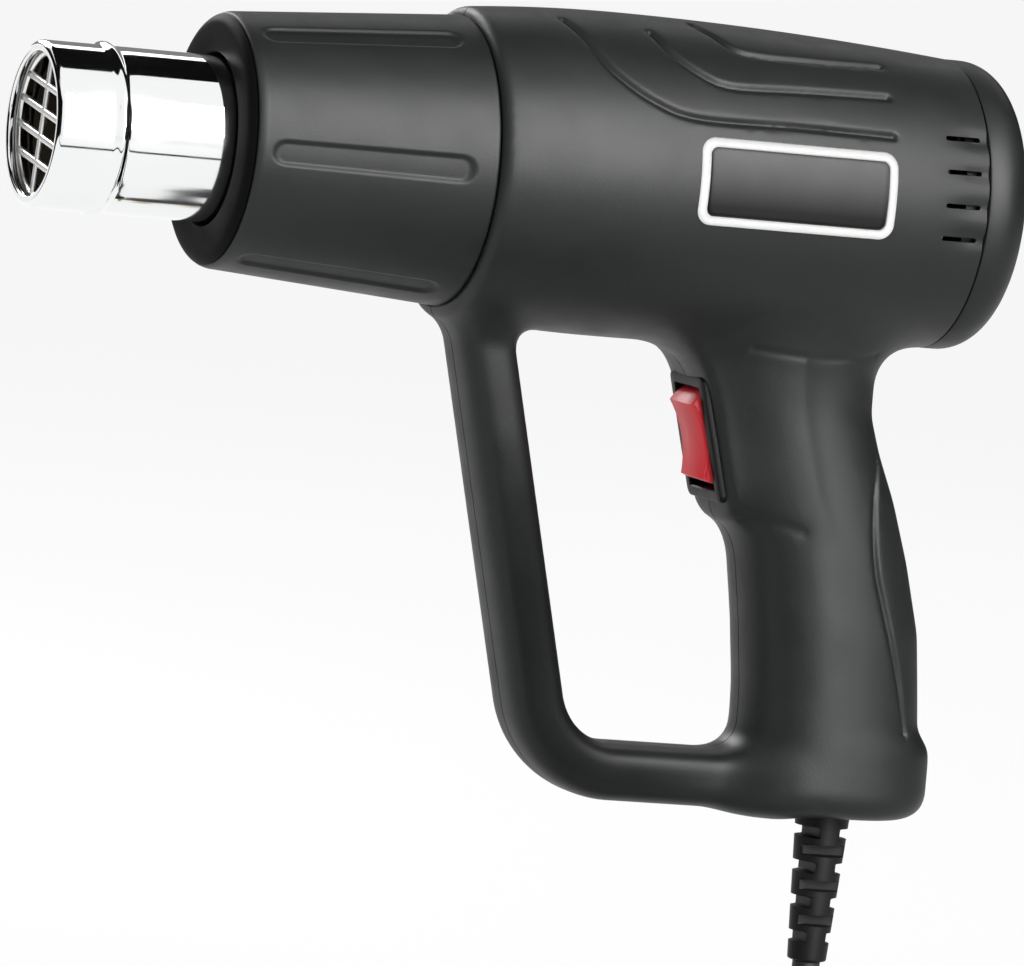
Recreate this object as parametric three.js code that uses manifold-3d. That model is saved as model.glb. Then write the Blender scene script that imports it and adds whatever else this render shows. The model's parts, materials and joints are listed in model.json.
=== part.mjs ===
// Hot air tool: a pistol-shaped blower with a closed loop handle, steel outlet tube and rocker switch.
// Millimetres, +Z up, outlet towards -X, mirror plane y = 0. The origin is in the middle of the hand grip.
// Stations x run along the barrel towards its rear, and heights z are counted from the barrel axis.
// The front edge of the housing barrel is the datum: sleeve and tube reach forward of it, the cap follows it.
import * as THREE from 'three';
import { mergeVertices } from 'three/addons/utils/BufferGeometryUtils.js';
import Module from 'manifold-3d';

const wasm = await Module();
wasm.setup();

// Walls and clearances
const WALL = 2.4; // housing wall
const GAP = 0.3; // between pieces that seat on one another
const SEAM = 0.15; // half the gap between the housing halves

// Outlet tube and its guard
const TUBE_RADIUS = 17.5; // takes the usual 35 mm slip-on nozzles
const TUBE_SHEET = 0.8;
const TUBE_SHOWN = 38.5; // rim to sleeve
const RIM_INNER_RADIUS = 15; // edge of the rim rolled inwards
const RIM_SHEET = 0.9;
const RIM_DEPTH = 1.6;
const BEAD_AT = 14; // behind the rim
const BEAD_RISE = 1.2;
const BEAD_HALF = 1.9;
const FLANGE_RADIUS = 23; // clamped between the housing halves
const FLANGE_THICK = 1.2;
const GRILLE_THICK = 1.2;
const GRILLE_RING = 2.2;
const GRILLE_BAR = 1.5;
const GRILLE_PITCH = 5.4;
const GRILLE_TURN = THREE.MathUtils.degToRad(8);

// Front sleeve
const SLEEVE_LENGTH = 54;
const SLEEVE_FRONT_RADIUS = 27;
const SLEEVE_REAR_RADIUS = 30.7;
const SLEEVE_LIP = 4; // rounding of the front edge
const RING_RADIUS = 23.3; // spigot of the black nose ring
const RING_DEPTH = 3.6;
const CHANNEL_COUNT = 6;
const CHANNEL_LENGTH = 44;
const CHANNEL_WIDTH = 6;
const CHANNEL_DEPTH = 0.6;
const SPIGOT_RADIUS = 26.8;
const COLLAR_RISE = 1.5;
const COLLAR_LENGTH = 2;

// Barrel of the housing
const BARREL_FRONT = 92.8;
const BARREL_LENGTH = 111;
const BARREL_FRONT_RADIUS = 32.5;
const BARREL_PEAK_RADIUS = 34.3;
const BARREL_PEAK = 36; // behind the front edge
const BARREL_REAR_RADIUS = 31;
const LIP_LENGTH = 4;
const PARTITION_LENGTH = 4.4;
const VENT_LENGTH = 8.5;
const VENT_WIDTH = 1;
const VENT_MARGIN = 1.6;
const VENT_HEIGHTS = [15.5, 8.6, 1.5, -5.5];
const GROOVE_RADIUS = 1;

// Rear cap
const CAP_LENGTH = 11;
const CAP_ROUNDING = 7.6;
const CAP_WALL = 2.2;
const CAP_SPIGOT = 4;
const HUB_RADIUS = 11.2;
const HUB_RISE = 5;
const INTAKE_COUNT = 12;
const INTAKE_WIDTH = 2.4;

// Grip: height, front edge, rear edge, half width, from the barrel down
const GRIP_BOTTOM = -132.6;
const GRIP_FLOOR = 3.9;
const GRIP_SQUARE = 2.5;
const GRIP_RINGS = [
  [-22, 145, 204, 19.5],
  [-31, 147, 200, 19],
  [-34.5, 150.5, 196.4, 17.8],
  [-39, 155, 193.8, 16.8],
  [-46, 159, 193.6, 16.5],
  [-54, 162, 196.4, 16.5],
  [-64, 164.8, 201, 16.6],
  [-77, 167.6, 205.7, 16.7],
  [-92, 170.3, 210.1, 16.6],
  [-106, 172.2, 212, 16.3],
  [-113, 172.6, 213.6, 16.2],
  [-119, 172.2, 216.2, 16.3],
  [-125.5, 171.5, 216, 16.2],
  [-129.8, 171.5, 213.4, 15],
  [GRIP_BOTTOM, 173.5, 208.5, 12.2],
];

// Loop bar in front of the fingers
const BAR_DEPTH = 6.2; // half size in the mirror plane
const BAR_WIDTH = 9.4; // half size across it
const BAR_SQUARE = 3.2;
const BAR_TOP = new THREE.Vector2(100.6, -24);
const BAR_RAKE = new THREE.Vector2(0.257, -0.966);
const BAR_BEND = 19.5;
const BAR_FLARE = 3.6;
const BAR_END = 180;

// Switch on the upper front of the grip
const PANEL = new THREE.Vector3(157.4, 0, -53.5);
const PANEL_RAKE = THREE.MathUtils.degToRad(16);
const PANEL_HALF_LENGTH = 16.5;
const PANEL_HALF_WIDTH = 11.5;
const PANEL_DEPTH = 12;
const ROCKER_REACH = 10.9; // pivot to the rounded ends
const ROCKER_HALF_WIDTH = 6.5;
const ROCKER_PROUD = 3.6;
const ROCKER_DISH = 1.4;
const PIVOT_DEPTH = 3.4;
const PIN_RADIUS = 1.4;
const PIN_LENGTH = 0.9;
const SWITCH_WALL = 1.2;
const SWITCH_DEPTH = 17;
const BEZEL_EDGE = 1.4;
const BEZEL_THICK = 1.6;
const TERMINAL_PITCH = 8;
const TERMINAL_LENGTH = 7;

// Badge on the left side of the barrel
const BADGE_AT = new THREE.Vector2(159, 2.3);
const BADGE_LENGTH = 45.5;
const BADGE_HEIGHT = 18.4;
const BADGE_CORNER = 3.2;
const BADGE_EDGE = 2;
const BADGE_POCKET = 0.7;

// Air duct, heater and motor
const DUCT_CLEAR = 2.25; // duct to the inside of the barrel at its rear end
const WIRE_ROOM = 4.9; // duct to the inside of the barrel where the wires pass
const DUCT_WALL = 1.6;
const LINER_WALL = 0.6;
const LINER_FRONT = 6; // behind the rim
const BOARD_HALF = 11.5;
const BOARD_THICK = 1.2;
const BOARD_FRONT = 20; // behind the rim
const COIL_TURNS = 7;
const COIL_WIRE = 0.9;
const COIL_FRONT = 25; // behind the rim
const BASE_THICK = 3;
const MOTOR_RADIUS = 14.5;
const MOTOR_LENGTH = 38;
const SHAFT_RADIUS = 1.5;
const BLADE_COUNT = 9;
const TIP_GAP = 1;
const IMPELLER_LENGTH = 12;

// Screws
const SCREW_RADIUS = 1.5;
const SCREW_HEAD = 2.8;
const SCREW_HEAD_HEIGHT = 2;
const BOSS_RADIUS = 4.6;
const POST_RADIUS = 3.6;

// Mains cord
const CORD_RADIUS = 3;
const RELIEF_LENGTH = 32;
const RELIEF_TOP_RADIUS = 5.9;
const RELIEF_END_RADIUS = 4.2;
const RELIEF_SLOT = 2.2;
const RELIEF_PITCH = 3.8;
const CORD_BACK = 4; // behind the middle of the grip's foot
const CORD_BEND = 30;
const CORD_STRAIGHT = 12;
const LOOP_PITCH = 6.6;
const LOOP_INNER = 24.4;
const LOOP_TURNS = 3.5; // in each of the two layers
const TIE_WIDTH = 9;
const TIE_THICK = 1.2;

// Stations worked out from the sizes above
const SLEEVE_REAR = BARREL_FRONT - GAP;
const SLEEVE_FRONT = SLEEVE_REAR - SLEEVE_LENGTH;
const RIM = SLEEVE_FRONT - TUBE_SHOWN;
const BARREL_REAR = BARREL_FRONT + BARREL_LENGTH;
const LIP_REAR = BARREL_FRONT + LIP_LENGTH;
const COLLAR_FRONT = LIP_REAR + GAP;
const COLLAR_REAR = COLLAR_FRONT + COLLAR_LENGTH;
const PARTITION_FRONT = COLLAR_REAR + GAP;
const PARTITION_REAR = PARTITION_FRONT + PARTITION_LENGTH;
const FLANGE_FRONT = PARTITION_FRONT + 1.6;
const TUBE_REAR = FLANGE_FRONT + FLANGE_THICK;
const CAP_FRONT = BARREL_REAR + GAP;
const CAP_REAR = CAP_FRONT + CAP_LENGTH;
const TUBE_BORE = TUBE_RADIUS - TUBE_SHEET;
const DUCT_REAR = BARREL_REAR - 7.8;
const DUCT_RADIUS = Math.min(
  barrelRadius(DUCT_REAR) - WALL - DUCT_CLEAR,
  BARREL_PEAK_RADIUS - WALL - WIRE_ROOM,
);
const MOTOR_FRONT = DUCT_REAR - 56;
const DUCT_CONE_REAR = MOTOR_FRONT - 8;
const RIB_SPOTS = [MOTOR_FRONT, DUCT_REAR - 7];
const RIB_LENGTH = 2;
const GRIP_CENTRE = new THREE.Vector3(187, 0, -84);
const [, footFront, footRear] = GRIP_RINGS[GRIP_RINGS.length - 1];
const CORD_X = (footFront + footRear) / 2 + CORD_BACK;

const tool = new THREE.Group();
tool.position.copy(GRIP_CENTRE).negate();

const CHARCOAL = { color: 0x3a3c3c, roughness: 0.55, metalness: 0 };
const BLACK = { color: 0x111212, roughness: 0.6, metalness: 0 };
const RED = { color: 0xc8383e, roughness: 0.35, metalness: 0 };
const STEEL = { color: 0xc9cccc, roughness: 0.16, metalness: 1 };
const WHITE = { color: 0xeeeeec, roughness: 0.4, metalness: 0 };
const RUBBER = { color: 0x161717, roughness: 0.75, metalness: 0 };
const MICA = { color: 0xb7a98a, roughness: 0.7, metalness: 0 };
const CERAMIC = { color: 0xe4ddd0, roughness: 0.8, metalness: 0 };
const HEAT_WIRE = { color: 0x8b8178, roughness: 0.4, metalness: 1 };
const ZINC = { color: 0xa7abab, roughness: 0.35, metalness: 1 };
const BRASS = { color: 0xb99a4e, roughness: 0.3, metalness: 1 };
const BRONZE = { color: 0x8f6a3c, roughness: 0.45, metalness: 1 };
const FERRITE = { color: 0x2b2b2d, roughness: 0.8, metalness: 0.2 };
const DUCT_GREY = { color: 0x55585a, roughness: 0.6, metalness: 0 };
const BOARD_GREEN = { color: 0x2f5d3a, roughness: 0.5, metalness: 0 };
const BROWN = { color: 0x5b3322, roughness: 0.55, metalness: 0 };
const BLUE = { color: 0x2a4f8f, roughness: 0.55, metalness: 0 };

// A closed geometry as a solid that can be joined and cut. Faces that run inwards are turned round.
function solid(geometry) {
  const loose = geometry.index ? geometry.toNonIndexed() : geometry.clone();
  loose.deleteAttribute('normal');
  loose.deleteAttribute('uv');
  const merged = mergeVertices(loose, 1e-3);
  const corner = merged.index.array;
  const kept = [];
  for (let i = 0; i < corner.length; i += 3) {
    const [a, b, c] = [corner[i], corner[i + 1], corner[i + 2]];
    if (a !== b && b !== c && c !== a) {
      kept.push(a, b, c);
    }
  }
  const vertProperties = merged.attributes.position.array;
  const outward = new Uint32Array(kept);
  const made = new wasm.Manifold(new wasm.Mesh({ numProp: 3, vertProperties, triVerts: outward }));
  if (made.volume() > 0) {
    return made;
  }
  const turned = new Uint32Array(kept.reverse());
  return new wasm.Manifold(new wasm.Mesh({ numProp: 3, vertProperties, triVerts: turned }));
}

function joined(solids) {
  return solids.reduce((sum, next) => sum.add(next));
}

// Adds a named mesh with its own finish to the tool.
function piece(name, body, finish) {
  const found = body.getMesh();
  const geometry = new THREE.BufferGeometry();
  geometry.setAttribute('position', new THREE.BufferAttribute(found.vertProperties, 3));
  geometry.setIndex(new THREE.BufferAttribute(found.triVerts, 1));
  geometry.computeVertexNormals();
  const mesh = new THREE.Mesh(geometry, new THREE.MeshStandardMaterial(finish));
  mesh.name = name;
  tool.add(mesh);
}

// Turns a profile of [station, radius] pairs about the barrel axis: out along the outside, back inside.
function revolve(profile, sides) {
  const points = profile.map(([x, r]) => new THREE.Vector2(r, x));
  const geometry = new THREE.LatheGeometry([...points, points[0]], sides);
  return solid(geometry.rotateZ(-Math.PI / 2));
}

// A room is drawn round its true circle, so that a round piece inside clears the flats.
function revolveRoom(profile, sides) {
  return revolve(profile.map(([x, r]) => [x, r / Math.cos(Math.PI / sides)]), sides);
}

function pipe(front, rear, inner, outer, sides) {
  const bore = inner / Math.cos(Math.PI / sides);
  return revolve([[front, bore], [front, outer], [rear, outer], [rear, bore]], sides);
}

function block(x0, x1, y0, y1, z0, z1) {
  const geometry = new THREE.BoxGeometry(x1 - x0, y1 - y0, z1 - z0);
  return solid(geometry.translate((x0 + x1) / 2, (y0 + y1) / 2, (z0 + z1) / 2));
}

// A round bar across the tool, from y0 to y1.
function crossBar(x, z, y0, y1, radius, sides) {
  const geometry = new THREE.CylinderGeometry(radius, radius, y1 - y0, sides);
  return solid(geometry.translate(x, (y0 + y1) / 2, z));
}

// A skin through rings of points, closed by a flat face at each end.
function loft(rings) {
  const sides = rings[0].length;
  const index = [];
  for (let i = 0; i + 1 < rings.length; i += 1) {
    for (let k = 0; k < sides; k += 1) {
      const a = i * sides + k;
      const b = i * sides + ((k + 1) % sides);
      index.push(a, b, b + sides, a, b + sides, a + sides);
    }
  }
  const last = (rings.length - 1) * sides;
  for (let k = 1; k + 1 < sides; k += 1) {
    index.push(0, k + 1, k, last, last + k, last + k + 1);
  }
  const geometry = new THREE.BufferGeometry().setFromPoints(rings.flat());
  geometry.setIndex(index);
  return solid(geometry);
}

// Outline between an ellipse (square = 2) and a box, with half sizes a and b.
function oval(a, b, square, sides) {
  const power = 2 / square;
  const points = [];
  for (let k = 0; k < sides; k += 1) {
    const turn = (2 * Math.PI * k) / sides;
    const [c, s] = [Math.cos(turn), Math.sin(turn)];
    points.push([a * Math.sign(c) * Math.abs(c) ** power, b * Math.sign(s) * Math.abs(s) ** power]);
  }
  return points;
}

// A tube of round section along a row of points, with square ends.
function tube(points, radius, sides) {
  const rings = [];
  let side = null;
  points.forEach((point, i) => {
    const ahead = points[Math.min(i + 1, points.length - 1)];
    const behind = points[Math.max(i - 1, 0)];
    const along = ahead.clone().sub(behind).normalize();
    if (side === null) {
      side = new THREE.Vector3(0.31, 0.53, 0.79).cross(along);
    }
    side.addScaledVector(along, -side.dot(along)).normalize();
    const other = along.clone().cross(side);
    const ring = [];
    for (let k = 0; k < sides; k += 1) {
      const turn = (2 * Math.PI * k) / sides;
      const spoke = side.clone().multiplyScalar(Math.cos(turn)).addScaledVector(other, Math.sin(turn));
      ring.push(spoke.multiplyScalar(radius).add(point));
    }
    rings.push(ring);
  });
  return loft(rings);
}

function at(x, y, z) {
  return new THREE.Vector3(x, y, z);
}

function barrelRadius(x) {
  const away = x - BARREL_FRONT - BARREL_PEAK;
  const front = (BARREL_PEAK_RADIUS - BARREL_FRONT_RADIUS) * (away / BARREL_PEAK) ** 2;
  const rear = (BARREL_PEAK_RADIUS - BARREL_REAR_RADIUS) * (away / (BARREL_LENGTH - BARREL_PEAK)) ** 2;
  return BARREL_PEAK_RADIUS - (away < 0 ? front : rear);
}

// Stations from one end to the other with the barrel's radius there, moved out by rise.
function barrelProfile(from, to, steps, rise) {
  const profile = [];
  for (let i = 0; i <= steps; i += 1) {
    const x = from + ((to - from) * i) / steps;
    profile.push([x, barrelRadius(x) + rise]);
  }
  return profile;
}

const BARREL_SIDES = 28;

// Outside of the barrel
const barrelSkin = revolve([
  [BARREL_FRONT, 0],
  [BARREL_FRONT, BARREL_FRONT_RADIUS - 0.8],
  ...barrelProfile(BARREL_FRONT + 0.8, BARREL_REAR, 7, 0),
  [BARREL_REAR, 0],
], BARREL_SIDES);

// Room inside the barrel, with the front lip, the partition that clamps the tube and two rings for the duct
const rib = DUCT_RADIUS + GAP;
const inside = (x) => [x, barrelRadius(x) - WALL];
const ribOn = (x) => [inside(x), [x, rib], [x + RIB_LENGTH, rib], inside(x + RIB_LENGTH)];
const barrelRoom = revolveRoom([
  [BARREL_FRONT - 5, 0],
  [BARREL_FRONT - 5, SPIGOT_RADIUS + GAP],
  [LIP_REAR, SPIGOT_RADIUS + GAP],
  inside(LIP_REAR),
  inside(PARTITION_FRONT),
  [PARTITION_FRONT, TUBE_RADIUS + GAP],
  [FLANGE_FRONT - GAP, TUBE_RADIUS + GAP],
  [FLANGE_FRONT - GAP, FLANGE_RADIUS + GAP],
  [TUBE_REAR + GAP, FLANGE_RADIUS + GAP],
  [TUBE_REAR + GAP, TUBE_RADIUS + GAP],
  [PARTITION_REAR, TUBE_RADIUS + GAP],
  inside(PARTITION_REAR),
  inside((PARTITION_REAR + RIB_SPOTS[0]) / 2),
  ...ribOn(RIB_SPOTS[0]),
  inside((RIB_SPOTS[0] + RIB_SPOTS[1]) / 2),
  ...ribOn(RIB_SPOTS[1]),
  inside(BARREL_REAR),
  [BARREL_REAR + 5, barrelRadius(BARREL_REAR) - WALL],
  [BARREL_REAR + 5, 0],
], 16);

// Grip as level rings of rounded outline, drawn in by inset for the room inside
function gripBody(inset, lowest, sides) {
  const rings = GRIP_RINGS.filter(([z]) => z >= lowest).map(([z, front, rear, half]) => {
    const ring = oval((rear - front) / 2 - inset, half - inset, GRIP_SQUARE, sides);
    return ring.map(([x, y]) => at((front + rear) / 2 + x, y, z));
  });
  if (inset > 0) {
    const floor = rings[rings.length - 1].map((p) => at(p.x, p.y, lowest));
    rings.push(floor);
  }
  return loft(rings);
}
const gripSkin = gripBody(0, GRIP_BOTTOM, 20);
const gripRoom = gripBody(WALL, GRIP_BOTTOM + GRIP_FLOOR, 12);

// Loop bar: down from the barrel, round the bend and back to the grip along the bottom
const barBottom = GRIP_BOTTOM + BAR_DEPTH;
const barCorner = new THREE.Vector2(
  BAR_TOP.x + ((barBottom - BAR_TOP.y) * BAR_RAKE.x) / BAR_RAKE.y,
  barBottom,
);
const barTurn = Math.PI / 2 - Math.atan2(BAR_RAKE.x, -BAR_RAKE.y);
const barTangent = BAR_BEND * Math.tan(barTurn / 2);
const bendStart = barCorner.clone().addScaledVector(BAR_RAKE, -barTangent);
const bendMiddle = new THREE.Vector2(barCorner.x + barTangent, barBottom + BAR_BEND);
function barRing(x, z, turned, flare) {
  const ring = oval(BAR_DEPTH + flare, BAR_WIDTH + flare * 0.6, BAR_SQUARE, 12);
  return ring.map(([p, q]) => at(x + p * Math.cos(turned), q, z + p * Math.sin(turned)));
}
const barRings = [];
const BEND_STEPS = 5;
const downTurn = Math.atan2(BAR_RAKE.x, -BAR_RAKE.y);
[[0, 1], [7, 1], [10.5, 0.62], [14, 0.22], [19, 0], [52, 0]].forEach(([down, flare]) => {
  const spot = BAR_TOP.clone().addScaledVector(BAR_RAKE, down);
  barRings.push(barRing(spot.x, spot.y, downTurn, BAR_FLARE * flare));
});
for (let i = 0; i <= BEND_STEPS; i += 1) {
  const turned = downTurn + (barTurn * i) / BEND_STEPS;
  const x = bendMiddle.x - BAR_BEND * Math.cos(turned);
  const z = bendMiddle.y - BAR_BEND * Math.sin(turned);
  barRings.push(barRing(x, z, turned, 0));
}
[BAR_END - 16, BAR_END - 10, BAR_END].forEach((x, i) => {
  const flare = [0, 0.7, 3][i];
  barRings.push(barRing(x, barBottom + flare, Math.PI / 2, flare));
});
const loopBar = loft(barRings);

// Switch panel: a raised collar on the front of the grip, with the switch's own axes
const panelFrame = new THREE.Matrix4().makeBasis(
  at(Math.sin(PANEL_RAKE), 0, -Math.cos(PANEL_RAKE)),
  at(0, 1, 0),
  at(Math.cos(PANEL_RAKE), 0, Math.sin(PANEL_RAKE)).negate(),
);
panelFrame.setPosition(PANEL);
// A solid drawn in panel axes (x down the panel, y across, z out of it) put in its place.
function onPanel(geometry) {
  return solid(geometry.applyMatrix4(panelFrame));
}
function panelBlock(length, width, low, high) {
  const geometry = new THREE.BoxGeometry(2 * length, 2 * width, high - low);
  return onPanel(geometry.translate(0, 0, (low + high) / 2));
}
const panelRings = [[-PANEL_DEPTH, 1.5], [-1, 0], [-0.3, -0.3], [0, -1]].map(([z, grow]) => {
  const ring = oval(PANEL_HALF_LENGTH + grow, PANEL_HALF_WIDTH + grow, 5, 16);
  return ring.map(([x, y]) => at(x, y, z).applyMatrix4(panelFrame));
});
const panelCollar = loft(panelRings);
const bayLength = ROCKER_REACH + GAP;
const bayWidth = ROCKER_HALF_WIDTH + GAP;
const switchLength = bayLength + SWITCH_WALL;
const switchWidth = bayWidth + SWITCH_WALL;
const switchHole = panelBlock(switchLength + GAP, switchWidth + GAP, -SWITCH_DEPTH - 12, 5);

// Moulded sweeping grooves on the shoulders, as [station, degrees above the side] on each flank
const SWEEPS = [
  [[111, 72], [115.5, 49.5], [119, 40], [126, 31], [136, 26], [159, 26.5], [181, 27]],
  [[129.5, 66], [132.5, 53], [138.5, 43.5], [145, 40], [160, 41.5], [181, 44]],
  [[141.5, 79], [144, 69.5], [149.5, 58.5], [166, 58.5], [182, 61.5]],
];
function groove(sweep, flank) {
  const points = sweep.map(([x, above]) => {
    const turn = THREE.MathUtils.degToRad(above);
    const radius = barrelRadius(x) + 0.2;
    return at(x, flank * radius * Math.cos(turn), radius * Math.sin(turn));
  });
  return tube(new THREE.CatmullRomCurve3(points).getPoints(9), GROOVE_RADIUS, 4);
}

// Rounded rectangle as seen from the side, cut out of a ring round the barrel
function badgeOutline(length, height, corner) {
  const [l, h] = [length / 2, height / 2];
  const shape = new THREE.Shape();
  shape.moveTo(-l + corner, -h);
  shape.lineTo(l - corner, -h);
  shape.quadraticCurveTo(l, -h, l, -h + corner);
  shape.lineTo(l, h - corner);
  shape.quadraticCurveTo(l, h, l - corner, h);
  shape.lineTo(-l + corner, h);
  shape.quadraticCurveTo(-l, h, -l, h - corner);
  shape.lineTo(-l, -h + corner);
  shape.quadraticCurveTo(-l, -h, -l + corner, -h);
  return shape;
}
function badgeSlab(grow, low, high) {
  const outline = badgeOutline(BADGE_LENGTH + 2 * grow, BADGE_HEIGHT + 2 * grow, BADGE_CORNER + grow);
  const geometry = new THREE.ExtrudeGeometry(outline, { depth: 60, bevelEnabled: false, curveSegments: 4 });
  geometry.rotateX(Math.PI / 2).translate(BADGE_AT.x, 0, BADGE_AT.y);
  const front = BADGE_AT.x - BADGE_LENGTH / 2 - 5;
  const rear = BADGE_AT.x + BADGE_LENGTH / 2 + 5;
  const band = [...barrelProfile(front, rear, 6, high), ...barrelProfile(front, rear, 6, low).reverse()];
  return solid(geometry).intersect(revolve(band, BARREL_SIDES));
}

// Screws through both halves: station, height, seat of the head on the right side, reach into the left side
const bossHeight = barrelRadius(BARREL_FRONT + 17) - WALL - BOSS_RADIUS + 0.2;
const bendOut = barTurn / 2 + downTurn;
const HOUSING_SCREWS = [
  [BARREL_FRONT + 17, bossHeight, 11, -9],
  [BARREL_FRONT + 17, -bossHeight, 11, -9],
  [187, -37.5, 9, -9],
  [178.5, -80, 10, -10],
  [204.5, -100, 7, -8],
  [bendMiddle.x - BAR_BEND * Math.cos(bendOut), bendMiddle.y - BAR_BEND * Math.sin(bendOut), 5, -6],
];
const holeRadius = (SCREW_RADIUS + GAP) / Math.cos(Math.PI / 6);
function screw(x, z, seat, reach) {
  const head = crossBar(x, z, seat + GAP, seat + GAP + SCREW_HEAD_HEIGHT, SCREW_HEAD, 8);
  return head.add(crossBar(x, z, reach, seat + GAP + 0.5, SCREW_RADIUS, 6));
}

// Cord clamp posts stand on the left half, one each side of the cord
const CLAMP_Z = -110;
const CLAMP_SPREAD = CORD_RADIUS + POST_RADIUS + GAP;
const clampSpots = [CORD_X - CLAMP_SPREAD, CORD_X + CLAMP_SPREAD];

// Wires inside
const WIRE_RADIUS = 1.1;
const COMMON_RUN = [
  [172, 8, -DUCT_RADIUS - 5.5],
  [160, 6.5, -DUCT_RADIUS - 2.2],
  [146, 6, -DUCT_RADIUS - 1.8],
  [130, 6, -DUCT_RADIUS - 1.2],
  [122, 6, -DUCT_RADIUS + 2],
];
const HEATER_END = [[115, 6, -19.5], [108, 5.5, -14], [100, 5, -10.5]];
const panelPoint = (x, y, z) => at(x, y, z).applyMatrix4(panelFrame);
const terminalBack = -SWITCH_DEPTH - GAP - TERMINAL_LENGTH;
const linerRear = PARTITION_FRONT - 4.5;
const baseFront = linerRear - 6.9;
const baseRear = baseFront + BASE_THICK;
const wireEnd = (side) => [at(baseRear + 4, side * 5, -8.4), at(baseRear + GAP, side * 5, -8.4)];
const cordInnerTop = CLAMP_Z + 11;
const liveRoute = [
  at(CORD_X - 0.4, -1.5, cordInnerTop + GAP),
  at(CORD_X - 0.4, -1.5, cordInnerTop + 8),
  at(CORD_X, -1.5, -76),
  at(CORD_X - 0.6, -1, -65),
  at(CORD_X - 3.2, 0, -57),
  panelPoint(TERMINAL_PITCH, 0, terminalBack - 4),
  panelPoint(TERMINAL_PITCH, 0, terminalBack - GAP),
];
const neutralRoute = [
  at(CORD_X + 0.4, 1.5, cordInnerTop + GAP),
  at(CORD_X + 0.4, 1.5, cordInnerTop + 8),
  at(CORD_X + 1, 2.6, -76),
  at(CORD_X - 1.2, 4, -64),
  at(CORD_X - 7, 6.5, -52),
  at(181, 8.5, -42),
  ...[...COMMON_RUN, ...HEATER_END].map(([x, y, z]) => at(x, y, z)),
  ...wireEnd(1),
];
const heaterRoute = [
  panelPoint(0, 0, terminalBack - GAP),
  panelPoint(0, 0, terminalBack - 3.5),
  at(184.6, -4, -43.4),
  at(179.5, -7.8, -39),
  ...[...COMMON_RUN, ...HEATER_END].map(([x, y, z]) => at(x, -y, z)),
  ...wireEnd(-1),
];
function wire(route, radius, steps) {
  return tube(new THREE.CatmullRomCurve3(route, false, 'centripetal').getPoints(steps), radius, 4);
}
const wireChannels = [neutralRoute, heaterRoute].map((route) => wire(route, WIRE_RADIUS + 0.6, 18));

// Notch in the front ring of the barrel, which lets the wires past
const notchFloor = barrelRadius(RIB_SPOTS[0]) - WALL;
const notchBox = new THREE.BoxGeometry(RIB_LENGTH + 2, 18, 6);
const ribNotch = solid(notchBox.translate(RIB_SPOTS[0] + RIB_LENGTH / 2, 0, 3 - notchFloor));

// Housing halves
const sleeveClear = revolveRoom([
  [SLEEVE_FRONT, 0],
  [SLEEVE_FRONT, SLEEVE_FRONT_RADIUS + GAP],
  [BARREL_FRONT, SLEEVE_REAR_RADIUS + GAP],
  [BARREL_FRONT, 0],
], BARREL_SIDES);
const outside = joined([barrelSkin, gripSkin, loopBar.subtract(sleeveClear), panelCollar]);
const shellWhole = outside.subtract(barrelRoom).subtract(gripRoom).subtract(switchHole);
const reliefHole = new THREE.CylinderGeometry(RELIEF_TOP_RADIUS, RELIEF_TOP_RADIUS, 12, 16);
reliefHole.rotateX(Math.PI / 2).translate(CORD_X, 0, GRIP_BOTTOM);
const shellOpen = shellWhole.subtract(solid(reliefHole));
function halfShell(flank) {
  const [low, high] = flank > 0 ? [SEAM, 60] : [-60, -SEAM];
  const space = block(-10, 240, low, high, -150, 50);
  let half = shellOpen.intersect(space);
  HOUSING_SCREWS.forEach(([x, z]) => {
    const boss = crossBar(x, z, low, high, flank > 0 ? BOSS_RADIUS : POST_RADIUS, 8);
    half = half.add(boss.intersect(outside));
  });
  VENT_HEIGHTS.forEach((z) => {
    const front = BARREL_REAR - VENT_MARGIN - VENT_LENGTH;
    const slot = new THREE.BoxGeometry(VENT_LENGTH, 20, VENT_WIDTH);
    half = half.subtract(solid(slot.translate(front + VENT_LENGTH / 2, flank * 32, z)));
  });
  SWEEPS.forEach((sweep) => {
    half = half.subtract(groove(sweep, flank));
  });
  return half.subtract(ribNotch);
}

let leftHalf = halfShell(-1).subtract(badgeSlab(GAP, -BADGE_POCKET, 5));
HOUSING_SCREWS.forEach(([x, z, , reach]) => {
  leftHalf = leftHalf.subtract(crossBar(x, z, reach - 1, 5, holeRadius, 6));
});
clampSpots.forEach((x) => {
  const post = crossBar(x, CLAMP_Z, -30, CORD_RADIUS, POST_RADIUS, 8).intersect(outside);
  leftHalf = leftHalf.add(post).subtract(crossBar(x, CLAMP_Z, -9, 10, holeRadius, 6));
});
piece('left_housing', leftHalf, CHARCOAL);

let rightHalf = halfShell(1);
HOUSING_SCREWS.forEach(([x, z, seat]) => {
  rightHalf = rightHalf.subtract(crossBar(x, z, -5, seat + 5, holeRadius, 6));
  rightHalf = rightHalf.subtract(crossBar(x, z, seat, 60, SCREW_HEAD + GAP, 8));
});
piece('right_housing', rightHalf, CHARCOAL);

HOUSING_SCREWS.forEach(([x, z, seat, reach], i) => {
  piece('housing_screw_' + (i + 1), screw(x, z, seat, reach), ZINC);
});

// Badge
const badgeFloor = GAP - BADGE_POCKET;
const badgeHole = badgeSlab(-BADGE_EDGE, -5, 5);
piece('badge_frame', badgeSlab(0, badgeFloor, 0.9).subtract(badgeHole), WHITE);
piece('badge_plate', badgeSlab(-BADGE_EDGE - GAP, badgeFloor, 0.4), BLACK);

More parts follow.
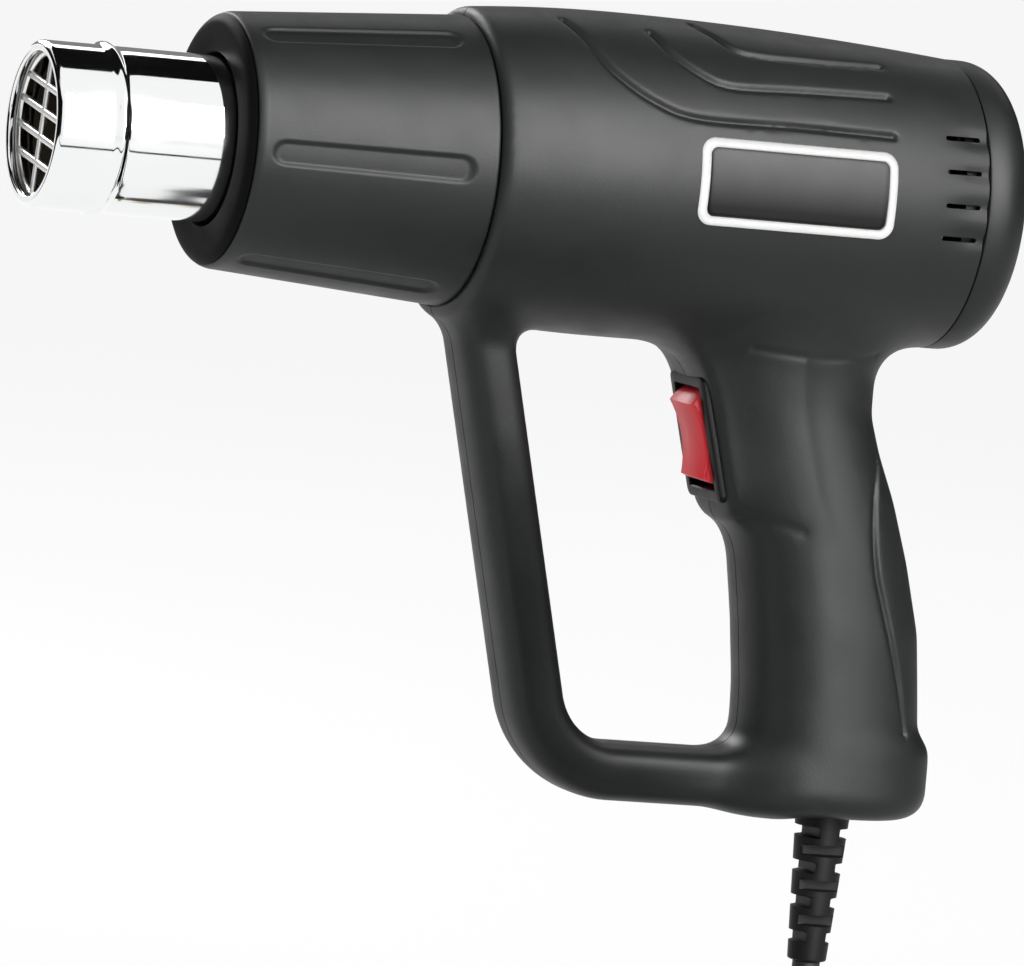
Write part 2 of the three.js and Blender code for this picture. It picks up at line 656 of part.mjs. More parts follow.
// Outlet tube with rolled rim, bead and clamped flange
const bead = RIM + BEAD_AT;
const beadTop = TUBE_RADIUS + BEAD_RISE;
const tubeSkin = revolve([
  [RIM, 0],
  [RIM, TUBE_RADIUS - 0.9],
  [RIM + 0.5, TUBE_RADIUS - 0.25],
  [RIM + 1.5, TUBE_RADIUS],
  [bead - BEAD_HALF, TUBE_RADIUS],
  [bead - 0.8, beadTop - 0.25],
  [bead, beadTop],
  [bead + 0.8, beadTop - 0.25],
  [bead + BEAD_HALF, TUBE_RADIUS],
  [FLANGE_FRONT, TUBE_RADIUS],
  [FLANGE_FRONT, FLANGE_RADIUS],
  [TUBE_REAR, FLANGE_RADIUS],
  [TUBE_REAR, 0],
], BARREL_SIDES);
const tubeRoom = revolveRoom([
  [RIM - 5, 0],
  [RIM - 5, RIM_INNER_RADIUS],
  [RIM + RIM_SHEET, RIM_INNER_RADIUS],
  [RIM + RIM_SHEET, TUBE_BORE - 0.5],
  [RIM + RIM_DEPTH, TUBE_BORE],
  [TUBE_REAR + 5, TUBE_BORE],
  [TUBE_REAR + 5, 0],
], BARREL_SIDES);
piece('nozzle_tube', tubeSkin.subtract(tubeRoom), STEEL);

// Guard in the outlet: a ring, a spine and four cross bars
const grilleFront = RIM + RIM_DEPTH + GAP;
const grilleEdge = TUBE_BORE - GAP;
const grilleRear = grilleFront + GRILLE_THICK;
const grilleRing = pipe(grilleFront, grilleRear, grilleEdge - GRILLE_RING, grilleEdge, 20);
const grilleReach = grilleEdge - GRILLE_RING / 2;
function grilleBar(offset, upright) {
  const half = Math.sqrt(grilleReach ** 2 - offset ** 2);
  const [width, height] = upright ? [GRILLE_BAR, 2 * half] : [2 * half, GRILLE_BAR];
  const geometry = new THREE.BoxGeometry(GRILLE_THICK - 0.1, width, height);
  geometry.translate(grilleFront + GRILLE_THICK / 2, upright ? offset : 0, upright ? 0 : offset);
  return solid(geometry.rotateX(GRILLE_TURN));
}
const crossBars = [-1.5, -0.5, 0.5, 1.5].map((step) => grilleBar(step * GRILLE_PITCH, false));
piece('nozzle_grille', joined([grilleRing, grilleBar(0, true), ...crossBars]), STEEL);

// Front sleeve, with its channels sunk along the slope of the cone
const sleeveSlope = Math.atan2(SLEEVE_REAR_RADIUS - SLEEVE_FRONT_RADIUS, SLEEVE_LENGTH - SLEEVE_LIP);
const ringRear = SLEEVE_FRONT + SLEEVE_LIP * 0.4;
const ringEdge = SLEEVE_FRONT_RADIUS - SLEEVE_LIP * 0.16;
const ringSeat = ringRear + RING_DEPTH + GAP;
const sleeveSkin = revolve([
  [ringRear + GAP, 0],
  [ringRear + GAP, ringEdge],
  [SLEEVE_FRONT + SLEEVE_LIP, SLEEVE_FRONT_RADIUS],
  [SLEEVE_REAR - 0.6, SLEEVE_REAR_RADIUS],
  [SLEEVE_REAR, SLEEVE_REAR_RADIUS - 0.6],
  [SLEEVE_REAR, SPIGOT_RADIUS],
  [COLLAR_FRONT, SPIGOT_RADIUS],
  [COLLAR_FRONT, SPIGOT_RADIUS + COLLAR_RISE],
  [COLLAR_REAR, SPIGOT_RADIUS + COLLAR_RISE],
  [COLLAR_REAR, 0],
], BARREL_SIDES);
const sleeveRoom = revolveRoom([
  [SLEEVE_FRONT - 5, 0],
  [SLEEVE_FRONT - 5, RING_RADIUS + GAP],
  [ringSeat, RING_RADIUS + GAP],
  [ringSeat, RING_RADIUS - WALL],
  [ringSeat + 2, RING_RADIUS - WALL],
  [ringSeat + 3, SLEEVE_FRONT_RADIUS - WALL],
  [SLEEVE_REAR - 4, SLEEVE_REAR_RADIUS - WALL],
  [SLEEVE_REAR - 1, SPIGOT_RADIUS - WALL],
  [COLLAR_REAR + 5, SPIGOT_RADIUS - WALL],
  [COLLAR_REAR + 5, 0],
], 16);
let sleeve = sleeveSkin.subtract(sleeveRoom);
const channelShape = badgeOutline(CHANNEL_LENGTH, CHANNEL_WIDTH, CHANNEL_WIDTH / 2 - 0.2);
const channelMiddle = SLEEVE_FRONT + SLEEVE_LIP + 1 + CHANNEL_LENGTH / 2;
const channelRise = (channelMiddle - SLEEVE_FRONT - SLEEVE_LIP) * Math.tan(sleeveSlope);
const channelRadius = SLEEVE_FRONT_RADIUS + channelRise;
for (let i = 0; i < CHANNEL_COUNT; i += 1) {
  const settings = { depth: 4, bevelEnabled: false, curveSegments: 1 };
  const geometry = new THREE.ExtrudeGeometry(channelShape, settings);
  geometry.rotateY(-sleeveSlope).translate(channelMiddle, 0, channelRadius - CHANNEL_DEPTH);
  sleeve = sleeve.subtract(solid(geometry.rotateX(Math.PI / 2 + (2 * Math.PI * i) / CHANNEL_COUNT)));
}
piece('front_sleeve', sleeve, CHARCOAL);
const ringBore = TUBE_RADIUS + 2 * GAP;
piece('front_ring', revolve([
  [SLEEVE_FRONT + 0.6, ringBore],
  [SLEEVE_FRONT, ringBore + 0.8],
  [SLEEVE_FRONT, SLEEVE_FRONT_RADIUS - SLEEVE_LIP * 0.8],
  [SLEEVE_FRONT + SLEEVE_LIP * 0.1, SLEEVE_FRONT_RADIUS - SLEEVE_LIP * 0.5],
  [ringRear, ringEdge],
  [ringRear, RING_RADIUS],
  [ringRear + RING_DEPTH, RING_RADIUS],
  [ringRear + RING_DEPTH, ringBore],
], 32), BLACK);

// Rear cap: a rounded rim with intake slots and a flat hub
const capRadius = BARREL_REAR_RADIUS;
const capSpigot = barrelRadius(BARREL_REAR) - WALL - GAP;
const capBend = CAP_REAR - CAP_ROUNDING;
const capArc = [0.33, 0.67, 1].map((t) => {
  const turn = (t * Math.PI) / 2;
  return [capBend + CAP_ROUNDING * Math.sin(turn), capRadius - CAP_ROUNDING * (1 - Math.cos(turn))];
});
const capSkin = revolve([
  [BARREL_REAR - CAP_SPIGOT, 0],
  [BARREL_REAR - CAP_SPIGOT, capSpigot],
  [CAP_FRONT, capSpigot],
  [CAP_FRONT, capRadius - 0.6],
  [CAP_FRONT + 0.6, capRadius],
  [capBend, capRadius],
  ...capArc,
  [CAP_REAR, HUB_RADIUS + 0.3],
  [CAP_REAR + HUB_RISE - 0.7, HUB_RADIUS],
  [CAP_REAR + HUB_RISE, HUB_RADIUS - 0.7],
  [CAP_REAR + HUB_RISE, 0],
], BARREL_SIDES);
const capRoom = revolve([
  [BARREL_REAR - CAP_SPIGOT - 5, 0],
  [BARREL_REAR - CAP_SPIGOT - 5, capSpigot - 2],
  [capBend, capSpigot - 2],
  [capBend + 3.4, capRadius - 5],
  [CAP_REAR - CAP_WALL, capRadius - CAP_ROUNDING - 1],
  [CAP_REAR - CAP_WALL, HUB_RADIUS - CAP_WALL],
  [CAP_REAR + HUB_RISE - CAP_WALL, HUB_RADIUS - CAP_WALL],
  [CAP_REAR + HUB_RISE - CAP_WALL, 0],
], 16);
let cap = capSkin.subtract(capRoom);
const intakeInner = HUB_RADIUS + 1.6;
const intakeOuter = capRadius - CAP_ROUNDING - 0.6;
for (let i = 0; i < INTAKE_COUNT; i += 1) {
  const geometry = new THREE.BoxGeometry(8, INTAKE_WIDTH, intakeOuter - intakeInner);
  geometry.translate(CAP_REAR, 0, (intakeInner + intakeOuter) / 2);
  cap = cap.subtract(solid(geometry.rotateX((2 * Math.PI * i) / INTAKE_COUNT)));
}
piece('rear_cap', cap, CHARCOAL);

// Switch: bezel and body with an open bay, and a rocker whose ends are round about the pivot
const bezelLow = GAP;
const bezelTop = GAP + BEZEL_THICK;
let switchBody = panelBlock(switchLength, switchWidth, -SWITCH_DEPTH, bezelTop - 0.2);
const bezelRings = [[bezelLow, 0], [bezelTop - 0.5, 0], [bezelTop, -0.5]].map(([z, grow]) => {
  const ring = oval(switchLength + BEZEL_EDGE + grow, switchWidth + BEZEL_EDGE + grow, 8, 16);
  return ring.map(([x, y]) => at(x, y, z).applyMatrix4(panelFrame));
});
switchBody = switchBody.add(loft(bezelRings));
switchBody = switchBody.subtract(panelBlock(bayLength, bayWidth, SWITCH_WALL - SWITCH_DEPTH, bezelTop + 1));
function pivotPin(radius, half, sides) {
  return onPanel(new THREE.CylinderGeometry(radius, radius, 2 * half, sides).translate(0, 0, -PIVOT_DEPTH));
}
const pinHalf = ROCKER_HALF_WIDTH + PIN_LENGTH;
switchBody = switchBody.subtract(pivotPin(PIN_RADIUS + GAP, pinHalf + GAP, 12));
piece('switch_body', switchBody, BLACK);

const rockerShape = new THREE.Shape();
const rockerTop = bezelTop + ROCKER_PROUD + PIVOT_DEPTH - BEZEL_THICK;
const topCorner = Math.asin(rockerTop / ROCKER_REACH);
const lowCorner = -0.35;
rockerShape.absarc(0, 0, ROCKER_REACH, lowCorner, topCorner, false);
rockerShape.quadraticCurveTo(4.5, rockerTop - ROCKER_DISH / 2, 0, rockerTop - ROCKER_DISH);
rockerShape.quadraticCurveTo(
  -4.5,
  rockerTop - ROCKER_DISH / 2,
  -ROCKER_REACH * Math.cos(topCorner),
  rockerTop,
);
rockerShape.absarc(0, 0, ROCKER_REACH, Math.PI - topCorner, Math.PI - lowCorner, false);
rockerShape.lineTo(-3, -7);
rockerShape.lineTo(3, -7);
const rockerSkin = new THREE.ExtrudeGeometry(rockerShape, {
  depth: 2 * ROCKER_HALF_WIDTH,
  bevelEnabled: false,
  curveSegments: 6,
});
rockerSkin.rotateX(Math.PI / 2).translate(0, ROCKER_HALF_WIDTH, -PIVOT_DEPTH);
piece('rocker', onPanel(rockerSkin).add(pivotPin(PIN_RADIUS, pinHalf, 12)), RED);

[-1, 0, 1].forEach((step, i) => {
  const geometry = new THREE.BoxGeometry(0.8, 4.8, TERMINAL_LENGTH);
  geometry.translate(step * TERMINAL_PITCH, 0, -SWITCH_DEPTH - GAP - TERMINAL_LENGTH / 2);
  piece('switch_terminal_' + (i + 1), onPanel(geometry), BRASS);
});

// Heater inside the outlet tube
const linerOuter = TUBE_BORE - 0.5;
const linerInner = linerOuter - LINER_WALL;
piece('mica_liner', pipe(RIM + LINER_FRONT, linerRear, linerInner, linerOuter, 20), MICA);
const baseRadius = linerInner - GAP;
const baseBar = (turn) => {
  const geometry = new THREE.BoxGeometry(BASE_THICK, 5, 2 * baseRadius - 1.5);
  return solid(geometry.translate((baseFront + baseRear) / 2, 0, 0).rotateX(turn));
};
const baseHub = pipe(baseFront, baseRear, 6.4, 10.6, 12);
const baseRing = pipe(baseFront, baseRear, baseRadius - 1.8, baseRadius, 16);
piece('element_base', joined([baseRing, baseHub, baseBar(0), baseBar(Math.PI / 2)]), CERAMIC);

const boardRear = baseFront - GAP;
const boardFront = RIM + BOARD_FRONT;
const boardMiddle = (boardFront + boardRear) / 2;
const boardHalf = BOARD_THICK / 2;
const slotHalf = boardHalf + GAP;
const uprightBoard = block(boardFront, boardRear, -boardHalf, boardHalf, -BOARD_HALF, BOARD_HALF);
const uprightSlot = block(boardMiddle, boardRear + 5, -5, 5, -slotHalf, slotHalf);
piece('mica_board_upright', uprightBoard.subtract(uprightSlot), MICA);
const levelBoard = block(boardFront, boardRear, -BOARD_HALF, BOARD_HALF, -boardHalf, boardHalf);
const levelSlot = block(boardFront - 5, boardMiddle + GAP, -slotHalf, slotHalf, -5, 5);
piece('mica_board_level', levelBoard.subtract(levelSlot), MICA);

// Least gap between parts of one tube that lie more than a few diameters apart along it.
function leastGap(points, radius) {
  let least = Infinity;
  const along = [0];
  for (let i = 1; i < points.length; i += 1) {
    along.push(along[i - 1] + points[i].distanceTo(points[i - 1]));
  }
  for (let i = 0; i < points.length; i += 1) {
    for (let k = i + 1; k < points.length; k += 1) {
      if (along[k] - along[i] > 8 * radius) {
        least = Math.min(least, points[i].distanceTo(points[k]) - 2 * radius);
      }
    }
  }
  return [least, along[points.length - 1]];
}

// Heating coil wound round the edges of the boards, its rear end straight back to the base
const coilRadius = BOARD_HALF + COIL_WIRE + 0.45;
const coilFront = RIM + COIL_FRONT;
const coilRear = boardRear - 5;
const coilPoints = [];
const COIL_STEPS = 14; // in each turn
const coilSteps = COIL_TURNS * COIL_STEPS;
for (let i = 0; i <= coilSteps; i += 1) {
  const turn = (2 * Math.PI * i) / COIL_STEPS + Math.PI / 4;
  const x = coilFront + ((coilRear - coilFront) * i) / coilSteps;
  coilPoints.push(at(x, coilRadius * Math.cos(turn), coilRadius * Math.sin(turn)));
}
const coilEnd = coilPoints[coilSteps];
const coilWay = at(0, -Math.sin(Math.PI / 4), Math.cos(Math.PI / 4));
coilPoints.push(coilEnd.clone().addScaledVector(coilWay, 1.6).add(at(0.8, 0, 0)));
coilPoints.push(coilEnd.clone().addScaledVector(coilWay, 2.1).add(at(2.6, 0, 0)));
coilPoints.push(coilEnd.clone().addScaledVector(coilWay, 2.1).add(at(5, 0, 0)));
const [coilGap] = leastGap(coilPoints, COIL_WIRE);
console.log('heating coil, least gap between turns: ' + coilGap.toFixed(2) + ' mm');
piece('heating_coil', tube(coilPoints, COIL_WIRE, 5), HEAT_WIRE);
const cutFront = boardRear - 8.7;
const cutProfile = [
  [cutFront, 0],
  [cutFront, 2],
  [cutFront + 0.5, 2.5],
  [boardRear, 2.5],
  [boardRear, 0],
];
piece('thermal_cutout', revolve(cutProfile, 12).translate([0, 6, 6]), ZINC);

// Air duct with the motor cradle on four vanes
const ductFront = linerRear + 1;
const ductSpigot = TUBE_BORE - GAP;
const ductShoulder = PARTITION_REAR + GAP;
let duct = revolve([
  [ductFront, ductSpigot],
  [ductShoulder, ductSpigot],
  [ductShoulder, ductSpigot + 2.2],
  [ductShoulder + 2, ductSpigot + 2.6],
  [DUCT_CONE_REAR, DUCT_RADIUS],
  [DUCT_REAR, DUCT_RADIUS],
  [DUCT_REAR, DUCT_RADIUS - DUCT_WALL],
  [DUCT_CONE_REAR, DUCT_RADIUS - DUCT_WALL],
  [ductShoulder + 2, ductSpigot + 2.6 - DUCT_WALL],
  [ductShoulder, ductSpigot - DUCT_WALL],
  [ductFront, ductSpigot - DUCT_WALL],
], 20);
const cradleFront = MOTOR_FRONT + 8;
const cradleRear = MOTOR_FRONT + MOTOR_LENGTH - 8;
const cradle = MOTOR_RADIUS + GAP;
duct = duct.add(pipe(cradleFront, cradleRear, cradle, cradle + DUCT_WALL, 16));
for (let i = 0; i < 4; i += 1) {
  const reach = DUCT_RADIUS - cradle - DUCT_WALL;
  const vane = new THREE.BoxGeometry(cradleRear - cradleFront, 1.6, reach);
  vane.translate((cradleFront + cradleRear) / 2, 0, (DUCT_RADIUS + cradle) / 2);
  duct = duct.add(solid(vane.rotateX(((i + 0.5) * Math.PI) / 2)));
}
wireChannels.forEach((channel) => {
  duct = duct.subtract(channel);
});
piece('air_duct', duct, DUCT_GREY);

// Motor
const motorRear = MOTOR_FRONT + MOTOR_LENGTH;
const bushBore = SHAFT_RADIUS + GAP;
const bushRadius = bushBore + 1.1;
const bushSeat = bushRadius + GAP;
piece('motor_can', revolve([
  [MOTOR_FRONT, MOTOR_RADIUS - 1],
  [MOTOR_FRONT, MOTOR_RADIUS],
  [motorRear - 0.6, MOTOR_RADIUS],
  [motorRear, MOTOR_RADIUS - 0.6],
  [motorRear, bushSeat + 1.2],
  [motorRear + 2, bushSeat + 1.2],
  [motorRear + 2, bushSeat],
  [motorRear - 1.1, bushSeat],
  [motorRear - 1.1, MOTOR_RADIUS - 1],
], 18), ZINC);
const bellPlug = MOTOR_RADIUS - 1 - GAP;
const bellFront = MOTOR_FRONT - GAP - 3.7;
let bell = revolve([
  [bellFront, bushSeat],
  [bellFront, MOTOR_RADIUS - GAP],
  [MOTOR_FRONT - GAP, MOTOR_RADIUS - GAP],
  [MOTOR_FRONT - GAP, bellPlug],
  [MOTOR_FRONT + 2.4, bellPlug],
  [MOTOR_FRONT + 2.4, bellPlug - 1.5],
  [MOTOR_FRONT - 1.2, bellPlug - 1.5],
  [MOTOR_FRONT - 1.2, bushSeat],
], 18);
const boardBack = bellFront - 2;
[-7, 7].forEach((y) => {
  bell = bell.add(block(boardBack + GAP, bellFront + 1, y - 1.2, y + 1.2, -0.5, 0.5));
});
piece('motor_end_bell', bell, BLACK);
piece('motor_bush_front', pipe(bellFront - 0.2, MOTOR_FRONT - 0.8, bushBore, bushRadius, 14), BRONZE);
piece('motor_bush_rear', pipe(motorRear - 1.6, motorRear + 2, bushBore, bushRadius, 14), BRONZE);
const magnetInner = MOTOR_RADIUS - 1 - GAP - 1.9;
const magnetOuter = magnetInner + 1.9;
piece('motor_magnet', pipe(MOTOR_FRONT + 5, motorRear - 5, magnetInner, magnetOuter, 16), FERRITE);
piece('armature', pipe(MOTOR_FRONT + 8, motorRear - 8, bushBore, magnetInner - 0.5, 16), BRONZE);
const impellerFront = motorRear + 3.6;
const impellerRear = impellerFront + IMPELLER_LENGTH;
piece('motor_shaft', revolve([
  [bellFront - 0.2, 0],
  [bellFront - 0.2, SHAFT_RADIUS],
  [impellerRear + 1, SHAFT_RADIUS],
  [impellerRear + 1, 0],
], 12), STEEL);

// Impeller: a hub with twisted blades
const hubRadius = 6;
const tipRadius = DUCT_RADIUS - DUCT_WALL - TIP_GAP;
let impeller = pipe(impellerFront, impellerRear, bushBore, hubRadius, 18);
for (let i = 0; i < BLADE_COUNT; i += 1) {
  const rings = [0, 1, 2].map((k) => {
    const radius = hubRadius - 1.4 + ((tipRadius - hubRadius + 1.4) * k) / 2;
    const pitch = THREE.MathUtils.degToRad(58 - 14 * k);
    const half = [3.2, 4.4, 5][k];
    const [c, s] = [Math.cos(pitch), Math.sin(pitch)];
    return [[-half, -0.6], [half, -0.6], [half, 0.6], [-half, 0.6]].map(([u, v]) => {
      const x = (impellerFront + impellerRear) / 2 + u * c - v * s;
      return at(x, u * s + v * c, radius).applyAxisAngle(at(1, 0, 0), (2 * Math.PI * i) / BLADE_COUNT);
    });
  });
  impeller = impeller.add(loft(rings));
}
piece('impeller', impeller, BLACK);

// Rectifier board in front of the motor, with its four diodes in one block
const boardDisc = pipe(boardBack - 1.6, boardBack, bushRadius + 1, 10.5, 16);
const diodes = block(boardBack - 5.6, boardBack - 1, -4.5, 4.5, -8.6, -4.4);
piece('rectifier_board', boardDisc.add(diodes), BOARD_GREEN);
[-1, 1].forEach((side, i) => {
  const route = [
    at(baseRear + GAP, side * 3.5, 8.4),
    at(baseRear + 4, side * 3.5, 8.4),
    at((baseRear + boardBack) / 2, side * 4.5, 9),
    at(boardBack - 6, side * 4, 7),
    at(boardBack - 1.6 - GAP, side * 4, 7),
  ];
  piece('motor_lead_' + (i + 1), wire(route, 0.9, 10), [RED, BLACK][i]);
});
piece('live_wire', wire(liveRoute, WIRE_RADIUS, 14), BROWN);
piece('neutral_wire', wire(neutralRoute, WIRE_RADIUS, 18), BLUE);
piece('heater_wire', wire(heaterRoute, WIRE_RADIUS, 18), BROWN);

// Strain relief: a collar inside the grip, a neck through its floor and a slotted taper below
const reliefCollar = GRIP_BOTTOM + GRIP_FLOOR + GAP;
const reliefEnd = GRIP_BOTTOM - RELIEF_LENGTH;
const neck = RELIEF_TOP_RADIUS - GAP;
const reliefProfile = [
  [0, reliefEnd],
  [RELIEF_END_RADIUS, reliefEnd],
  [RELIEF_TOP_RADIUS, GRIP_BOTTOM - GAP],
  [neck, GRIP_BOTTOM - GAP],
  [neck, reliefCollar],
  [neck + 2, reliefCollar],
  [neck + 2, reliefCollar + 5],
  [0, reliefCollar + 5],
].map(([r, z]) => new THREE.Vector2(r, z));
const upright = (geometry) => solid(geometry.rotateX(Math.PI / 2).translate(CORD_X, 0, 0));
let relief = upright(new THREE.LatheGeometry(reliefProfile, 12));
const reliefSlots = Math.floor((RELIEF_LENGTH - 5) / RELIEF_PITCH);
for (let i = 0; i < reliefSlots; i += 1) {
  const z = GRIP_BOTTOM - 4 - i * RELIEF_PITCH;
  [-1, 1].forEach((side) => {
    const [near, far] = side > 0 ? [2, 9] : [-9, -2];
    const [low, high] = [z - RELIEF_SLOT / 2, z + RELIEF_SLOT / 2];
    const acrossX = block(CORD_X + near, CORD_X + far, -9, 9, low, high);
    const acrossY = block(CORD_X - 9, CORD_X + 9, near, far, low, high);
    relief = relief.subtract(i % 2 ? acrossY : acrossX);
  });
}
piece('strain_relief', relief, RUBBER);
const innerEnds = [at(CORD_X, 0, reliefCollar + 5 + GAP), at(CORD_X, 0, cordInnerTop)];
piece('cord_inner', tube(innerEnds, CORD_RADIUS, 10), RUBBER);

// Clamp bar over the cord
const clampHalf = CLAMP_SPREAD + POST_RADIUS;
const clampBar = new THREE.BoxGeometry(2 * clampHalf, 2.6, 7.2);
let clamp = solid(clampBar.translate(CORD_X, CORD_RADIUS + GAP + 1.3, CLAMP_Z));
clampSpots.forEach((x, i) => {
  clamp = clamp.subtract(crossBar(x, CLAMP_Z, 0, 12, holeRadius, 6));
  piece('clamp_screw_' + (i + 1), screw(x, CLAMP_Z, CORD_RADIUS + GAP + 2.6, -8), ZINC);
});
piece('cord_clamp', clamp, BLACK);

// Free stretch of the cord: straight down, then a bend to lie on the floor towards the left side
const cordTop = reliefEnd - GAP;
const bendTop = cordTop - CORD_STRAIGHT;
const layLevel = bendTop - CORD_BEND;
const leadPoints = [at(CORD_X, 0, cordTop), at(CORD_X, 0, cordTop - CORD_STRAIGHT / 2)];
for (let i = 0; i <= 8; i += 1) {
  const turn = (i * Math.PI) / 16;
  leadPoints.push(at(CORD_X, -CORD_BEND * (1 - Math.cos(turn)), bendTop - CORD_BEND * Math.sin(turn)));
}
const coilStartY = -CORD_BEND - 12;
leadPoints.push(at(CORD_X, coilStartY + GAP, layLevel));
piece('cord_lead', tube(leadPoints, CORD_RADIUS, 8), RUBBER);

// Coil: spirals in on the floor, climbs in half a turn and spirals out on top
const loopOuter = LOOP_INNER + LOOP_TURNS * LOOP_PITCH;
const loopMiddle = at(CORD_X - loopOuter, coilStartY - 2 * CORD_RADIUS, layLevel);
const layerRise = 2 * CORD_RADIUS + 0.6;
const cordLoop = [at(CORD_X, coilStartY, layLevel)];
const loopSteps = (2 * LOOP_TURNS + 0.5) * 24;
for (let i = 0; i <= loopSteps; i += 1) {
  const turns = i / 24;
  const inward = Math.min(turns, LOOP_TURNS);
  const climb = THREE.MathUtils.smoothstep(turns, LOOP_TURNS, LOOP_TURNS + 0.5);
  const outward = Math.max(turns - LOOP_TURNS - 0.5, 0);
  const turning = turns - inward - outward;
  const radius = loopOuter - (inward - outward + turning * (1 - 2 * turning)) * LOOP_PITCH;
  const turn = -2 * Math.PI * turns;
  const z = loopMiddle.z + climb * layerRise;
  cordLoop.push(at(loopMiddle.x + radius * Math.cos(turn), loopMiddle.y + radius * Math.sin(turn), z));
}
const loopEnd = cordLoop[cordLoop.length - 1];
cordLoop.push(loopEnd.clone().add(at(0, 2 * CORD_RADIUS, 0)));
const [loopGap, loopLength] = leastGap(cordLoop, CORD_RADIUS);
console.log('cord coil, least gap between loops: ' + loopGap.toFixed(2) + ' mm');
piece('cord_coil', tube(cordLoop, CORD_RADIUS, 6), RUBBER);

// Tie round the bundle
const tieTurn = -0.75 * Math.PI;
const tieInner = [loopOuter - LOOP_INNER + 2 * CORD_RADIUS + 1.6, 2 * CORD_RADIUS + layerRise + 0.8];
const tieOuter = tieInner.map((size) => size + 2 * TIE_THICK);
const tieBand = badgeOutline(tieOuter[0], tieOuter[1], 4.2);
tieBand.holes.push(badgeOutline(tieInner[0], tieInner[1], 3));
const tie = new THREE.ExtrudeGeometry(tieBand, { depth: TIE_WIDTH, bevelEnabled: false, curveSegments: 4 });
tie.translate(0, 0, -TIE_WIDTH / 2).rotateX(Math.PI / 2);
tie.translate((loopOuter + LOOP_INNER) / 2, 0, layerRise / 2).rotateZ(tieTurn);
piece('cord_tie', solid(tie.translate(loopMiddle.x, loopMiddle.y, loopMiddle.z)), BLACK);
const floorLevel = layLevel + layerRise / 2 - tieOuter[1] / 2;

// Tail down to the plug, which lies flat beside the coil
const PLUG_HALF_HEIGHT = 6.2;
const plugLevel = floorLevel + PLUG_HALF_HEIGHT;
const tailStart = cordLoop[cordLoop.length - 1];
const TAIL_LENGTH = 42;
const tailPoints = [];
for (let i = 0; i <= 10; i += 1) {
  const y = GAP + ((TAIL_LENGTH - GAP) * i) / 10;
  const drop = THREE.MathUtils.smoothstep(y, 0, TAIL_LENGTH - 2 * CORD_RADIUS);
  tailPoints.push(at(tailStart.x, tailStart.y + y, tailStart.z + (plugLevel - tailStart.z) * drop));
}
piece('cord_tail', tube(tailPoints, CORD_RADIUS, 8), RUBBER);
const [, leadLength] = leastGap(leadPoints, CORD_RADIUS);
const [, tailLength] = leastGap(tailPoints, CORD_RADIUS);
const cordLength = leadLength + loopLength + tailLength + 2 * GAP;
console.log('cord length: ' + cordLength.toFixed(0) + ' mm');
console.log('floor at: ' + (floorLevel - GRIP_CENTRE.z).toFixed(2) + ' mm');

const plugStart = tailStart.y + TAIL_LENGTH + GAP;
const plugRings = [
  [0, 4.2, 4.2],
  [12, 5.2, 5],
  [15, 10.5, PLUG_HALF_HEIGHT],
  [19, 12.4, PLUG_HALF_HEIGHT],
  [38, 12.4, PLUG_HALF_HEIGHT],
  [40, 11.4, PLUG_HALF_HEIGHT - 0.8],
].map(([y, wide, high]) => {
  const ring = oval(wide, high, y > 13 ? 4 : 2, 16);
  return ring.map(([x, z]) => at(tailStart.x + x, plugStart + y, plugLevel + z));
});
piece('plug_body', loft(plugRings), RUBBER);
[-6.35, 6.35].forEach((x, i) => {
  const bladeLength = 17 - GAP;
  const blade = new THREE.BoxGeometry(1.5, bladeLength, 6.4);
  blade.translate(tailStart.x + x, plugStart + 40 + GAP + bladeLength / 2, plugLevel);
  piece('plug_blade_' + (i + 1), solid(blade), BRASS);
});

export default tool;
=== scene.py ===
"""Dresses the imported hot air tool: smooth mouldings, bright steel, rubber cord and a plain studio."""
import json
import math

import bmesh
import bpy
import numpy as np
from mathutils import Matrix, Vector


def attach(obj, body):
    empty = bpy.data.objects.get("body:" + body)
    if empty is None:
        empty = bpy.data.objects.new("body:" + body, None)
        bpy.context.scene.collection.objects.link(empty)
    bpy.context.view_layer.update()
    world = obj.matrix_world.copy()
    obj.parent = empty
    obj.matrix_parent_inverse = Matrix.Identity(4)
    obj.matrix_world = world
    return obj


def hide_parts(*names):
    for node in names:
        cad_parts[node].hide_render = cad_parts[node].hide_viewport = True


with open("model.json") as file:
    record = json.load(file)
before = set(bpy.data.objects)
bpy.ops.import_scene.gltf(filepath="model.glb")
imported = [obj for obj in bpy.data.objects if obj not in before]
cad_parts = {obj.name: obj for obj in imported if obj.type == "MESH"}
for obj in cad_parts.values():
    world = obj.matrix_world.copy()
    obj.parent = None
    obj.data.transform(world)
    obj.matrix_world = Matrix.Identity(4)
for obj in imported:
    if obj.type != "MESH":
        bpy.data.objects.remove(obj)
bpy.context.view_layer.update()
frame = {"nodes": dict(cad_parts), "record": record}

bl_info = {
    "name": "Hot air tool",
    "version": (1, 0, 0),
    "blender": (4, 5, 0),
    "location": "View3D > Sidebar > Tool looks",
    "description": "Builds the mouldings, metalwork, cord and studio of a hot air tool round its solids",
    "category": "Object",
}

# Shapes are worked out in millimetres: stations x from the outlet's rim, heights z from the barrel's axis.
# This point, the middle of the grip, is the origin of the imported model.
GRIP_CENTRE = np.array([187.0, 0.0, -84.0])
MM = 0.001

